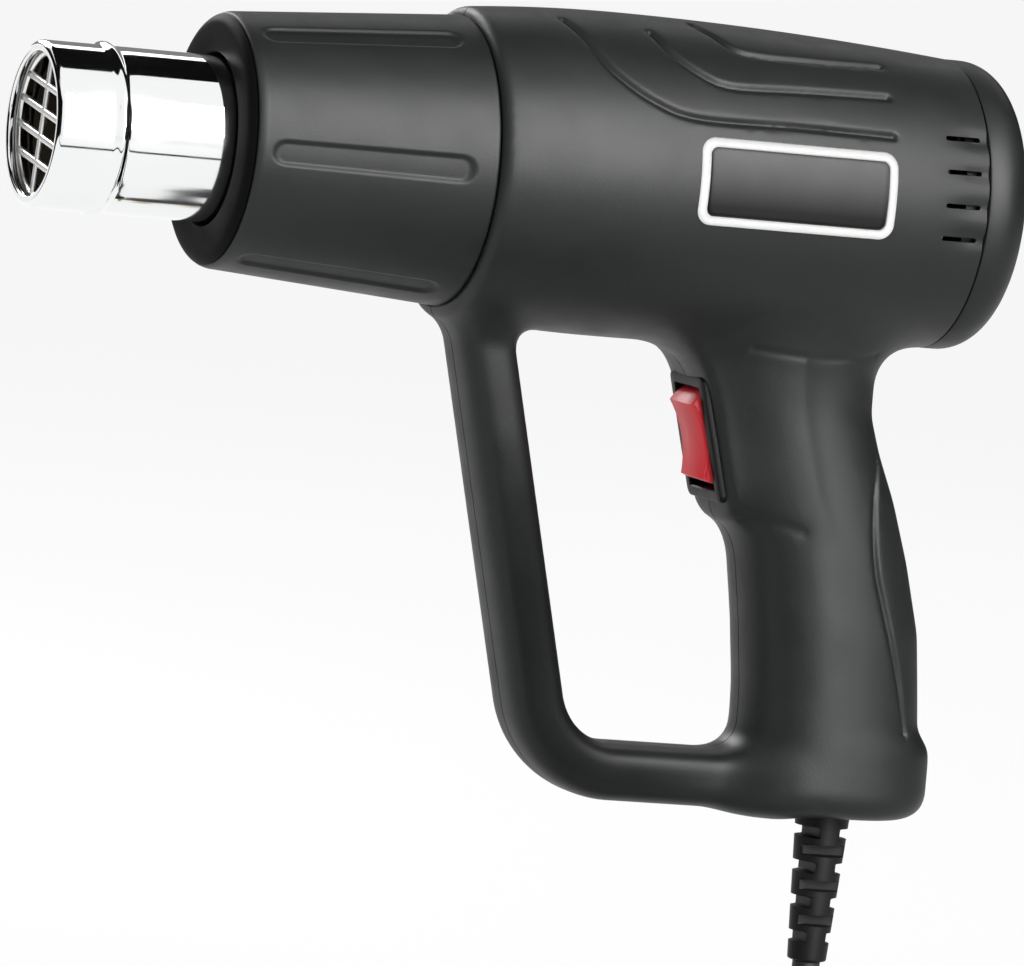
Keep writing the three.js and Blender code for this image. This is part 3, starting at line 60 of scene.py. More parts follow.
# Sizes that the solids have too
WALL = 2.4
GAP = 0.3
SEAM = 0.15
TUBE_RADIUS = 17.5
TUBE_SHEET = 0.8
TUBE_REAR = 102.2
FLANGE_RADIUS = 23.0
BEAD_AT = 14.0
BEAD_HALF = 1.9
RIM_INNER_RADIUS = 15.0
GRILLE_PITCH = 5.4
GRILLE_TURN = math.radians(8)
ELEMENT_TURNS = 7
ELEMENT_ENDS = (25.0, 82.4)
ELEMENT_RADIUS = 12.85
ELEMENT_WIRE = 0.9
SLEEVE_FRONT = 38.5
SLEEVE_REAR = 92.5
SLEEVE_FRONT_RADIUS = 27.0
SLEEVE_REAR_RADIUS = 30.7
SLEEVE_LIP = 4.0
SPIGOT_RADIUS = 26.8
SPIGOT_RIB = (97.1, 99.1, 1.5)
RING_RADIUS = 23.3
RING_DEPTH = 3.6
RING_NOSE = 1.6
CHANNEL_COUNT = 6
CHANNEL_LENGTH = 44.0
CHANNEL_WIDTH = 6.0
BARREL_FRONT = 92.8
BARREL_REAR = 203.8
BARREL_PEAK = 36.0
BARREL_RADII = (32.5, 34.3, 31.0)
CAP_FRONT = 204.1
CAP_REAR = 215.1
CAP_ROUNDING = 7.6
CAP_WALL = 2.2
CAP_SPIGOT = 4.0
HUB_RADIUS = 11.2
HUB_RISE = 5.0
INTAKE_COUNT = 12
INTAKE_WIDTH = 2.4
VENT_HEIGHTS = (15.5, 8.6, 1.5, -5.5)
VENT_LENGTH = 8.5
VENT_WIDTH = 1.0
VENT_MARGIN = 1.6
GRIP_TOP = -8.0
GRIP_BOTTOM = -132.6
GRIP_SQUARE = 2.5
BAR_DEPTH = 6.2
BAR_WIDTH = 9.4
BAR_SQUARE = 3.2
BAR_TOP = np.array([100.6, -24.0])
BAR_RAKE = np.array([0.257, -0.966])
BAR_BEND = 19.5
BAR_END = 180.0
PANEL = np.array([157.4, 0.0, -53.5])
PANEL_RAKE = math.radians(16)
PANEL_HALF_LENGTH = 16.5
PANEL_HALF_WIDTH = 11.5
PANEL_DEPTH = 12.0
PANEL_SQUARE = 5
ROCKER_REACH = 10.9
ROCKER_HALF_WIDTH = 6.5
ROCKER_PROUD = 3.6
ROCKER_DISH = 1.4
PIVOT_DEPTH = 3.4
BEZEL_THICK = 1.6
BEZEL_EDGE = 1.4
SWITCH_WALL = 1.2
SWITCH_DEPTH = 17.0
BADGE_AT = (159.0, 2.3)
BADGE_SIZE = (45.5, 18.4)
BADGE_CORNER = 3.2
BADGE_EDGE = 2.0
CORD_X = 195.0
RELIEF_LENGTH = 32.0
RELIEF_RADII = (5.9, 4.2)
RELIEF_PITCH = 3.8
RELIEF_SLOT = 2.2
RELIEF_CORE = 2.3
RELIEF_BORE = 3.1
CORD_STRAIGHT = 12.0
CORD_BEND = 30.0
LOOP_INNER = 24.4
LOOP_PITCH = 6.6
LOOP_TURNS = 3.5
LAYER_GAP = 0.6
TAIL_LENGTH = 42.0
TIE_WIDTH = 9.0
TIE_THICK = 1.2
TIE_SLACK = 0.8
PLUG_LENGTH = 40.0
PLUG_HALF_HEIGHT = 6.2
BLADE_LENGTH = 16.7
BLADE_WIDTH = 6.4
BLADE_AT = (-6.35, 6.35)
SCREW_RADIUS = 1.5
SCREW_HEAD = 2.8
SCREW_HEAD_HEIGHT = 2.0

# Grip: height, front edge, rear edge, half width
GRIP_ROWS = np.array([
    [-10.0, 156.5, 193.4, 16.9],
    [-40.0, 157.6, 193.4, 16.7],
    [-46.0, 159.0, 193.6, 16.5],
    [-54.0, 162.0, 196.4, 16.5],
    [-64.0, 164.8, 201.0, 16.6],
    [-77.0, 167.6, 205.7, 16.7],
    [-92.0, 170.3, 210.1, 16.6],
    [-106.0, 172.2, 212.0, 16.3],
    [-113.0, 172.6, 212.8, 16.2],
    [-116.5, 172.4, 215.9, 16.3],
    [-119.0, 172.2, 216.2, 16.3],
    [-126.0, 171.5, 216.4, 16.3],
    [-140.0, 171.5, 216.4, 16.3],
])

# The loop's middle line: down the bar, round a bend, and level to the grip
BAR_DOWN = math.atan2(BAR_RAKE[0], -BAR_RAKE[1])
BAR_TURN = math.pi / 2 - BAR_DOWN
BAR_LEVEL = GRIP_BOTTOM + BAR_DEPTH
BAR_CORNER = np.array([BAR_TOP[0] + (BAR_LEVEL - BAR_TOP[1]) * BAR_RAKE[0] / BAR_RAKE[1], BAR_LEVEL])
BAR_TANGENT = BAR_BEND * math.tan(BAR_TURN / 2)
BEND_START = BAR_CORNER - BAR_RAKE * BAR_TANGENT
BEND_MIDDLE = np.array([BAR_CORNER[0] + BAR_TANGENT, BAR_LEVEL + BAR_BEND])
BEND_OUT = BAR_DOWN + BAR_TURN / 2
BEND_SCREW = BEND_MIDDLE - BAR_BEND * np.array([math.cos(BEND_OUT), math.sin(BEND_OUT)])

# Screws through the halves: station, height, seat of the head, reach of the tip
SCREWS = (
    (109.8, 27.06, 11.0, -9.0),
    (109.8, -27.06, 11.0, -9.0),
    (187.0, -37.5, 9.0, -9.0),
    (178.5, -80.0, 10.0, -10.0),
    (204.5, -100.0, 7.0, -8.0),
    (*BEND_SCREW, 5.0, -6.0),
)

# Forms that only this script adds: reach of the fillets and roundings, and shape of the vents' scoops
PANEL_FILLET = 14
GRIP_FILLET = 9
BAR_FILLET = 6
FOOT_ROUNDING = 6.5
EDGE_ROUNDING = 2
SCOOP_DEPTH = 0.7
SCOOP_LEAD = 3
SCOOP_RUN = 9
SCOOP_SPREAD = 1.5
GROOVE_REACH = 2.2
TAPER_ROWS = 80
LIP_ROWS = 13

# Moulded sweeps on the shoulders: station and degrees above the side
SWEEPS = (
    ((111, 72), (115.5, 49.5), (119, 40), (126, 31), (136, 26), (159, 26.5), (181, 27)),
    ((129.5, 66), (132.5, 53), (138.5, 43.5), (145, 40), (160, 41.5), (181, 44)),
    ((141.5, 79), (144, 69.5), (149.5, 58.5), (166, 58.5), (182, 61.5)),
)

# Fine creases of the grip: depth, half width, then station and height of each point
CREASES = (
    (0.7, 0.8, ((193.6, -56), (192.6, -61), (192.5, -67), (193.1, -73), (194.3, -79), (196.4, -85),
                (199.4, -93), (203, -103), (206, -113))),
    (0.3, 1.5, ((164.5, -70.2), (168.7, -70.4), (172.4, -70.4), (176.2, -71.4))),
    (0.25, 0.9, ((160, -33.2), (166, -33.6), (172, -33.9), (178, -33.9), (184, -33.4), (189, -32.6))),
)

# The photograph's viewpoint, in degrees, metres and millimetres of lens
VIEW_TURN = -21.95
VIEW_RISE = 4.6
VIEW_ROLL = 6.23
VIEW_DISTANCE = 2.132
VIEW_LENS = 354.3
VIEW_TARGET = Vector((-0.0716, 0.0007, 0.0171))

FLOOR_LEVEL = -0.1275
FLOOR_NEAR = 3.0
FLOOR_FAR = 14.0
FLOOR_GLOW = 0.9
WORLD_LIGHT = 0.15

# Lamps: name, aim, turn and rise, distance, size, brightness with white as 1, spread, light left out
TOOL = Vector((-0.06, 0, 0.03))
GRIP = Vector((0, -0.0165, -0.01))
WIDE = math.pi
LAMPS = (
    ("barrel key", TOOL, (20, 29), 1.2, (0.62, 0.64), 4.7, WIDE, None),
    ("barrel shine", TOOL, (20, 29), 1.2, (0.62, 0.8), 29.0, WIDE, "diffuse"),
    ("grip key", TOOL, (9, 3), 1.5, (0.22, 0.6), 12.0, WIDE, None),
    ("grip shine", GRIP, (15, -4.6), 0.32, (0.08, 0.13), 24.0, math.radians(32), "diffuse"),
    ("left fill", TOOL, (-80, 20), 1.5, (0.8, 0.8), 6.5, WIDE, "glossy"),
    ("rear key", TOOL, (197, 28), 1.2, (0.6, 0.5), 9.0, WIDE, None),
    ("rear card", TOOL, (165, 38), 1.8, (2.2, 1.5), 1.0, WIDE, None),
)

# Cards that mirrors see: name, range of degrees, distance, glow
LEVEL_CARDS = (
    ("top card", (87, 133), 0.8, 0.0),
    ("back card", (144, 174), 1.4, 0.22),
    ("line card", (-24.5, -22), 0.45, 0.0),
)
UPRIGHT_CARDS = (
    ("left card", (-152, -55), 1.6, 0.0),
    ("right card", (32, 152), 1.6, 0.0),
)

# Flags that keep the lamps off the loop: across and heights
FLAG_Y = -0.06
LOOP_FLAGS = (((-0.1, -0.035), (-0.07, 0.04)), ((-0.035, -0.006), (-0.07, -0.012)))

# Finishes of the solids that keep showing, by the record's material slot: colour, roughness, metal
SOLID_FINISHES = {
    "mica": ((0.05, 0.04, 0.026), 0.6, 0.0),
    "ceramic": ((0.78, 0.74, 0.66), 0.75, 0.0),
    "zinc_steel": ((0.42, 0.44, 0.44), 0.35, 1.0),
    "brass": ((0.55, 0.37, 0.09), 0.3, 1.0),
    "bronze": ((0.32, 0.17, 0.06), 0.42, 1.0),
    "ferrite": ((0.024, 0.024, 0.026), 0.75, 0.0),
    "duct_grey": ((0.09, 0.10, 0.105), 0.55, 0.0),
    "board_green": ((0.03, 0.11, 0.042), 0.4, 0.0),
    "brown_wire": ((0.11, 0.035, 0.016), 0.45, 0.0),
    "blue_wire": ((0.024, 0.08, 0.27), 0.45, 0.0),
    "red_wire": ((0.5, 0.03, 0.04), 0.45, 0.0),
    "chrome_steel": ((0.62, 0.63, 0.63), 0.18, 1.0),
    "black_plastic": ((0.008, 0.008, 0.008), 0.5, 0.0),
    "rubber": ((0.010, 0.010, 0.010), 0.6, 0.0),
}

# Most of a noise lies between these values
NOISE_LOW, NOISE_HIGH = 0.3, 0.7


def length(name, description, default):
    return bpy.props.FloatProperty(name=name, description=description, default=default, unit="LENGTH")


def colour(name, description, default):
    return bpy.props.FloatVectorProperty(name=name, description=description, default=default, subtype="COLOR")


class ToolSizes(bpy.types.PropertyGroup):
    """Sizes that a user would change."""

    groove_depth: length("Groove depth", "Depth of the moulded sweeps", 0.0009)
    groove_width: length("Groove width", "Half width of the moulded sweeps", 0.0008)
    bead_rise: length("Bead rise", "Height of the bead round the outlet tube", 0.0008)
    channel_depth: length("Channel depth", "Depth of the channels along the sleeve", 0.0006)
    badge_rise: length("Badge rise", "Height of the badge frame over the barrel", 0.0009)
    cord_diameter: length("Cord diameter", "Outside of the mains cord", 0.006)
    mesh_step: length("Mesh step", "Size of the housing's faces", 0.00105)


class ToolColours(bpy.types.PropertyGroup):
    """Colours that a user would change, in linear light."""

    housing: colour("Housing", "Charcoal plastic", (0.0165, 0.0176, 0.0175))
    black: colour("Black parts", "Front ring and switch", (0.0035, 0.0035, 0.0035))
    rocker: colour("Rocker", "Red rocker key", (0.64, 0.035, 0.045))
    badge: colour("Badge frame", "White badge frame", (0.88, 0.88, 0.87))
    rubber: colour("Cord", "Rubber of the cord and its relief", (0.0032, 0.0032, 0.0032))


def sizes():
    return bpy.context.scene.hot_air_sizes


def colours():
    return bpy.context.scene.hot_air_colours


# Meshes

def unit(v):
    return v / np.linalg.norm(v, axis=-1, keepdims=True)


def row(x, y, z):
    """Rows of three coordinates, any of which may be one number for all."""
    return np.stack(np.broadcast_arrays(x, y, z), -1)


def circle(count):
    """Angles once round, without the last that meets the first."""
    return np.linspace(0, 2 * math.pi, count, endpoint=False)


def eased(s):
    """From 0 to 1 with a level start and end."""
    return s * s * (3 - 2 * s)


def skin_faces(rows, cols, loop):
    """Quads between neighbouring rows of points; each row closes on itself, and so do the rows if loop."""
    i = np.arange(rows if loop else rows - 1)[:, None]
    k = np.arange(cols)
    here, there = i * cols, (i + 1) % rows * cols
    k2 = (k + 1) % cols
    return np.stack([here + k, here + k2, there + k2, there + k], -1).reshape(-1, 4)


def volume_under(points, faces):
    """Six times the signed volume between the origin and the faces, each taken as a fan of triangles."""
    p = points[faces]
    fans = [np.cross(p[:, i], p[:, i + 1]) for i in range(1, faces.shape[1] - 1)]
    return sum(np.einsum("ij,ij->", p[:, 0], fan) for fan in fans)


def closed_skin(rings, loop=False):
    """Points and groups of faces of a closed skin through rings. Without loop, a fan closes each end.

    The signed volume under the faces tells which way they run, and they are turned to face outwards.
    """
    rows, cols = rings.shape[:2]
    points = rings.reshape(-1, 3)
    groups = [skin_faces(rows, cols, loop)]
    if not loop:
        points = np.concatenate([points, [rings[0].mean(0), rings[-1].mean(0)]])
        k = np.arange(cols)
        k2 = (k + 1) % cols
        last, first_end = (rows - 1) * cols, rows * cols
        groups += [row(k2, k, first_end), row(k + last, k2 + last, first_end + 1)]
    order = -1 if sum(volume_under(points, faces) for faces in groups) < 0 else 1
    return points, [faces[:, ::order] for faces in groups]


def plain_mesh(name, points, faces):
    mesh = bpy.data.meshes.new(name)
    mesh.from_pydata(points.tolist(), [], faces)
    return mesh


def to_model(points):
    """Millimetres, as above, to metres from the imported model's origin."""
    return (points - GRIP_CENTRE) * MM


def as_mesh(name, parts, sharp=35):
    """One mesh from several closed skins in millimetres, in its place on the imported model."""
    points, faces, start = [], [], 0
    for some_points, groups in parts:
        points.append(some_points)
        faces += [face for group in groups for face in (group + start).tolist()]
        start += len(some_points)
    mesh = plain_mesh(name, to_model(np.concatenate(points)), faces)
    mesh.validate()
    shade(mesh, sharp)
    return mesh


def shade(mesh, sharp):
    mesh.shade_smooth()
    mesh.set_sharp_from_angle(angle=math.radians(sharp))


def placed(name, data):
    """A new object in the scene."""
    made = bpy.data.objects.new(name, data)
    bpy.context.scene.collection.objects.link(made)
    return made


def add_piece(name, mesh, material, replaced, body="gun"):
    """Puts a finished mesh in the scene, on the body it moves with and for the solids it stands for."""
    made = placed(name, mesh)
    mesh.materials.clear()
    mesh.materials.append(material)
    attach(made, body)
    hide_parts(*replaced)
    return made


def add_skin(name, rings, material, node, sharp=35, loop=False, body="gun"):
    """A piece that is one closed skin and stands for one solid."""
    return add_piece(name, as_mesh(name, [closed_skin(rings, loop)], sharp), material, (node,), body)


def modified(mesh, kind, **values):
    """The mesh after one modifier."""
    made = placed("unfinished", mesh)
    step = made.modifiers.new("step", kind)
    for name, value in values.items():
        setattr(step, name, value)
    bpy.context.view_layer.update()
    graph = bpy.context.evaluated_depsgraph_get()
    done = bpy.data.meshes.new_from_object(made.evaluated_get(graph))
    bpy.data.objects.remove(made)
    return done


def cut_mesh(mesh, cutters, sharp=35):
    """The mesh with closed cutters taken out of it."""
    knife = placed("cutters", as_mesh("cutters", cutters))
    done = modified(mesh, "BOOLEAN", operation="DIFFERENCE", solver="MANIFOLD", object=knife)
    bpy.data.objects.remove(knife)
    shade(done, sharp)
    return done


def turned(profile, sides, dent=None):
    """Rings of a closed profile of [station, radius] turned about the barrel axis: x, r cos t, r sin t.

    dent(x, t) is taken from the radius, for hollows that follow the round.
    """
    profile = np.asarray(profile, float)
    t = circle(sides)
    x, r = profile[:, :1], profile[:, 1:]
    if dent is not None:
        r = r - dent(x, t)
    return row(x, r * np.cos(t), r * np.sin(t))


def arc(middle, radius, start, end, steps):
    """Points of a circle's arc about middle, from start to end degrees."""
    t = np.radians(np.linspace(start, end, steps + 1))
    return list(zip(middle[0] + radius * np.cos(t), middle[1] + radius * np.sin(t)))


def outline(length, height, corner, steps=10):
    """A rectangle with round corners, once round, as an array of points."""
    l, h = length / 2 - corner, height / 2 - corner
    spots = ((l, -h, -90), (l, h, 0), (-l, h, 90), (-l, -h, 180))
    return np.concatenate([arc((x, y), corner, start, start + 90, steps) for x, y, start in spots])


def oval(a, b, square, count):
    """Outline between an ellipse and a box: |x/a|^n + |y/b|^n = 1, with n the squareness."""
    c, s = np.cos(circle(count)), np.sin(circle(count))
    power = 2 / square
    return np.stack([a * np.sign(c) * np.abs(c) ** power, b * np.sign(s) * np.abs(s) ** power], -1)


def swept(path, section):
    """Rings of a flat section carried along a path, kept from twisting by turning its frame the least way."""
    along = unit(np.gradient(path, axis=0))
    side = np.cross((0.31, 0.53, 0.79), along[0])
    frames = []
    for way in along:
        side = unit(side - way * np.dot(side, way))
        frames.append((side, np.cross(way, side)))
    first, second = (np.array(f)[:, None] for f in zip(*frames))
    return path[:, None] + section[:, :1] * first + section[:, 1:] * second


def smooth_path(points, step):
    """A Catmull-Rom curve through the points, then sampled at even steps along its length."""
    p = np.asarray(points, float)
    p = np.concatenate([[2 * p[0] - p[1]], p, [2 * p[-1] - p[-2]]])
    t = np.linspace(0, 1, 24, endpoint=False)[:, None]
    a, b, c, d = p[:-3, None], p[1:-2, None], p[2:-1, None], p[3:, None]
    curve = b + 0.5 * t * (c - a + t * (2 * a - 5 * b + 4 * c - d + t * (3 * (b - c) + d - a)))
    return even_path(np.concatenate([curve.reshape(-1, p.shape[1]), p[-2:-1]]), step)


def even_path(curve, step):
    far = np.concatenate([[0], np.cumsum(np.linalg.norm(np.diff(curve, axis=0), axis=1))])
    want = np.linspace(0, far[-1], max(int(far[-1] / step), 2) + 1)
    return np.stack([np.interp(want, far, column) for column in curve.T], -1)


# The housing's skin

def barrel_radius(x):
    """Two parabolas that meet at the barrel's widest station."""
    front, peak, rear = BARREL_RADII
    away = np.asarray(x) - BARREL_FRONT - BARREL_PEAK
    before = (peak - front) * (away / BARREL_PEAK) ** 2
    behind = (peak - rear) * (away / (BARREL_REAR - BARREL_FRONT - BARREL_PEAK)) ** 2
    return peak - np.where(away < 0, before, behind)


def grip_table():
    """The grip's rows at every half millimetre of height, softened by a bell curve along the height."""
    step, reach, width = 0.5, 16, 1.3
    z = np.arange(-160, 10, step)
    bell = np.exp(-0.5 * (np.arange(-reach, reach + 1) * step / width) ** 2)
    bell /= bell.sum()
    rows = GRIP_ROWS[::-1]
    plain = [np.interp(z, rows[:, 0], rows[:, i]) for i in (1, 2, 3)]
    return z, [np.convolve(np.pad(p, reach, mode="edge"), bell, mode="valid") for p in plain]


GRIP_Z, GRIP_EDGES = grip_table()


def blend(a, b, reach):
    """The nearer of two distances, rounded over where they differ by less than reach."""
    h = np.clip(0.5 + 0.5 * (b - a) / reach, 0, 1)
    return b + (a - b) * h - reach * h * (1 - h)


def rounded(a, b, reach):
    """The farther of two distances, rounded in the same way."""
    return -blend(-a, -b, reach)


def squared(a, b, n):
    """Two measures as one that is 1 on a squared oval: (|a|^n + |b|^n)^(1/n)."""
    return (np.abs(a) ** n + np.abs(b) ** n) ** (1 / n)


def grip_distance(x, y, z):
    front, rear, half = (np.interp(z, GRIP_Z, edge) for edge in GRIP_EDGES)
    q = squared((x - (front + rear) / 2) / ((rear - front) / 2), y / half, GRIP_SQUARE)
    return np.maximum(rounded((q - 1) * half, GRIP_BOTTOM - z, FOOT_ROUNDING), z - GRIP_TOP)


def bar_distance(x, y, z):
    """Distance to the loop: off its middle line in the mirror plane, and across it, as a squared oval."""
    p = np.stack([x, z], -1)
    level = np.array([[BEND_MIDDLE[0], BAR_LEVEL], [BAR_END, BAR_LEVEL]])
    off = np.full(np.shape(x), np.inf)
    for a, b in ((BAR_TOP, BEND_START), level):
        way = b - a
        t = np.clip((p - a) @ way / (way @ way), 0, 1)
        off = np.minimum(off, np.linalg.norm(p - a - t[..., None] * way, axis=-1))
    round_ = p - BEND_MIDDLE
    turn = np.arctan2(-round_[..., 1], -round_[..., 0])
    on_bend = (turn > BAR_DOWN) & (turn < math.pi / 2)
    bend = np.abs(np.linalg.norm(round_, axis=-1) - BAR_BEND)
    off = np.where(on_bend, np.minimum(off, bend), off)
    return (squared(off / BAR_DEPTH, y / BAR_WIDTH, BAR_SQUARE) - 1) * BAR_DEPTH


def panel_axes():
    down = np.array([math.sin(PANEL_RAKE), 0, -math.cos(PANEL_RAKE)])
    out = -np.array([math.cos(PANEL_RAKE), 0, math.sin(PANEL_RAKE)])
    return np.stack([down, np.array([0.0, 1.0, 0.0]), out])


def on_panel(points):
    """Points given down, across and out of the switch panel, put in their place."""
    return points @ panel_axes() + PANEL


def panel_distance(x, y, z):
    u, v, w = np.moveaxis((np.stack([x, y, z], -1) - PANEL) @ panel_axes().T, -1, 0)
    q = squared(u / PANEL_HALF_LENGTH, v / PANEL_HALF_WIDTH, PANEL_SQUARE)
    return rounded(np.maximum((q - 1) * PANEL_HALF_WIDTH, -w - PANEL_DEPTH), w, EDGE_ROUNDING)


def housing_distance(x, y, z):
    """Barrel, grip, loop and switch panel, run into one another with fillets."""
    barrel = rounded(np.hypot(y, z) - barrel_radius(x), BARREL_FRONT - x, EDGE_ROUNDING)
    body = blend(barrel, panel_distance(x, y, z), PANEL_FILLET)
    body = blend(body, grip_distance(x, y, z), GRIP_FILLET)
    return blend(body, bar_distance(x, y, z), BAR_FILLET)


def surface(distance, low, high, step):
    """Points and quads of the zero level of a distance, on a grid of cells.

    A cell that the level crosses has one point, the mean of where it crosses the cell's edges, and a crossed
    edge of the grid has one quad between its four cells. Newton steps along the slope then put each point
    on the level itself.
    """
    axes = [np.arange(a, b + step, step) for a, b in zip(low, high)]
    f = distance(*np.meshgrid(*axes, indexing="ij")).astype(np.float32)
    shape = np.array(f.shape) - 1
    corners = {c: f[tuple(slice(i, i + n) for i, n in zip(c, shape))] for c in np.ndindex(2, 2, 2)}
    inside = sum((values < 0).astype(np.int8) for values in corners.values())
    crossed = (inside > 0) & (inside < len(corners))
    cells = np.argwhere(crossed)
    number = np.full(shape, -1)
    number[crossed] = np.arange(len(cells))
    total, count = np.zeros((len(cells), 3)), np.zeros(len(cells))
    for axis in range(3):
        for c in (c for c in corners if c[axis] == 0):
            d = c[:axis] + (1,) + c[axis + 1:]
            a, b = corners[c][crossed], corners[d][crossed]
            change = (a < 0) != (b < 0)
            spot = np.tile(np.array(c, float), (len(cells), 1))
            spot[:, axis] = np.where(change, a / np.where(change, a - b, 1), 0)
            total += spot * change[:, None]
            count += change
    points = (cells + total / count[:, None]) * step + np.array([a[0] for a in axes])
    faces = []
    for axis in range(3):
        one, two = (axis + 1) % 3, (axis + 2) % 3
        first = np.moveaxis(f, axis, 0)
        found = np.argwhere((first[:-1] < 0) != (first[1:] < 0))
        spots = found[:, np.argsort([axis, *(i for i in range(3) if i != axis)])]
        spots = spots[(spots[:, one] > 0) & (spots[:, two] > 0) & (spots < shape).all(1)]
        back = f[tuple(spots.T)] < 0
        steps = np.zeros((4, 3), int)
        steps[:, [one, two]] = ((1, 1), (0, 1), (0, 0), (1, 0))
        quad = number[tuple(np.moveaxis(spots[:, None] - steps, -1, 0))]
        faces.append(np.where(back[:, None], quad, quad[:, ::-1]))
    for _ in range(4):
        slope, value = slope_of(distance, points)
        points = points - slope * (value / np.maximum((slope ** 2).sum(1), 0.05))[:, None]
    return points, np.concatenate(faces)


def slope_of(distance, points, reach=0.05):
    """Slope of a distance at the points, from differences across a small reach, and the distance there."""
    ways = np.eye(3) * reach
    slope = [(distance(*(points + way).T) - distance(*(points - way).T)) / (2 * reach) for way in ways]
    return np.stack(slope, -1), distance(*points.T)


def sweep_paths():
    """The sweeps on the left shoulder as points on the barrel."""
    paths = []
    for sweep in SWEEPS:
        x, rise = smooth_path(sweep, 0.4).T
        r, t = barrel_radius(x), np.radians(rise)
        paths.append(row(x, -r * np.cos(t), r * np.sin(t)))
    return paths


def on_flank(line):
    """Points on the left flank: at each station and height, the first place from the side that is inside."""
    x, z = smooth_path(line, 0.4).T
    y = np.linspace(-40, 0, 1601)
    inside = housing_distance(*np.broadcast_arrays(x[:, None], y, z[:, None])) < 0
    return row(x, y[np.argmax(inside, 1)], z)


def line_distance(points, paths, near):
    """Least distance from each point to the paths' points, worked out only in a box round each path."""
    least = np.full(len(points), np.inf)
    for path in paths:
        close = ((points > path.min(0) - near) & (points < path.max(0) + near)).all(1)
        index = np.nonzero(close)[0]
        for part in np.array_split(index, max(len(index) // 2000, 1)):
            gap = np.linalg.norm(points[part][:, None] - path[None], axis=2).min(1)
            least[part] = np.minimum(least[part], gap)
    return least


def mesh_points(mesh):
    points = np.empty(len(mesh.vertices) * 3)
    mesh.vertices.foreach_get("co", points)
    return points.reshape(-1, 3)


def fine_near(mesh, paths, reach):
    """Divides the faces near the paths, so that a narrow groove has points across it."""
    near = line_distance(mesh_points(mesh), paths, 3) < reach
    work = bmesh.new()
    work.from_mesh(mesh)
    edges = [e for e in work.edges if near[e.verts[0].index] and near[e.verts[1].index]]
    bmesh.ops.subdivide_edges(work, edges=edges, cuts=2, use_grid_fill=True)
    work.to_mesh(mesh)
    work.free()


def vent_hollow(points):
    """Depth of the scoops in front of the vents: a bell across each, growing towards the rear."""
    x, y, z = points.T
    far = np.clip((x - BARREL_REAR + VENT_MARGIN + VENT_LENGTH + SCOOP_LEAD) / SCOOP_RUN, 0, 1)
    bells = [np.exp(-((z - height) / SCOOP_SPREAD) ** 2) for height in VENT_HEIGHTS]
    return SCOOP_DEPTH * far * far * np.max(bells, 0) * (y < -20)


def groove(points, paths, depth, width, near):
    """Depth of a groove along paths: a bell across it."""
    return depth * np.exp(-(line_distance(points, paths, near) / width) ** 2)


def half_skin():
    """Points and faces of the left half of the housing's skin in millimetres, open at the seam."""
    low = (BARREL_FRONT - 12, -37.0, GRIP_BOTTOM - 3)
    high = (BARREL_REAR + 16, 2.0, 37.0)
    points, faces = surface(housing_distance, low, high, sizes().mesh_step / MM)
    mesh = plain_mesh("half skin", points, faces.tolist())
    work = bmesh.new()
    work.from_mesh(mesh)
    everything = work.verts[:] + work.edges[:] + work.faces[:]
    bmesh.ops.bisect_plane(
        work, geom=everything, plane_co=(0, -SEAM, 0), plane_no=(0, 1, 0), clear_outer=True)
    work.to_mesh(mesh)
    work.free()
    paths = sweep_paths()
    creases = [(depth, width, on_flank(line)) for depth, width, line in CREASES]
    fine_near(mesh, paths + [line for _, _, line in creases], GROOVE_REACH)
    points = mesh_points(mesh)
    slope, value = slope_of(housing_distance, points)
    hollows = [groove(points, paths, sizes().groove_depth / MM, sizes().groove_width / MM, 3)]
    hollows += [groove(points, [line], depth, width, 4) for depth, width, line in creases]
    hollows.append(vent_hollow(points))
    moved = points - unit(slope) * (value + np.max(hollows, 0))[:, None]
    moved[np.abs(points[:, 1] + SEAM) < 1e-4, 1] = -SEAM
    return moved, [tuple(face.vertices) for face in mesh.polygons]


def half_shell(flank):
    """A housing half with its wall: the skin, mirrored for the right, moved inwards by the wall, then cut."""
    points, faces = half_skin()
    mesh = plain_mesh("shell", to_model(points * (1, -flank, 1)), [face[::-flank] for face in faces])
    mesh = modified(mesh, "SOLIDIFY", thickness=WALL * MM, offset=-1, use_rim=True)
    return cut_mesh(mesh, shell_cutters(flank), 40)


def drum(front, front_radius, rear, rear_radius):
    """A turned cutter about the barrel axis."""
    profile = [(front, 0.01), (front, front_radius), (rear, rear_radius), (rear, 0.01)]
    return closed_skin(turned(profile, 128))


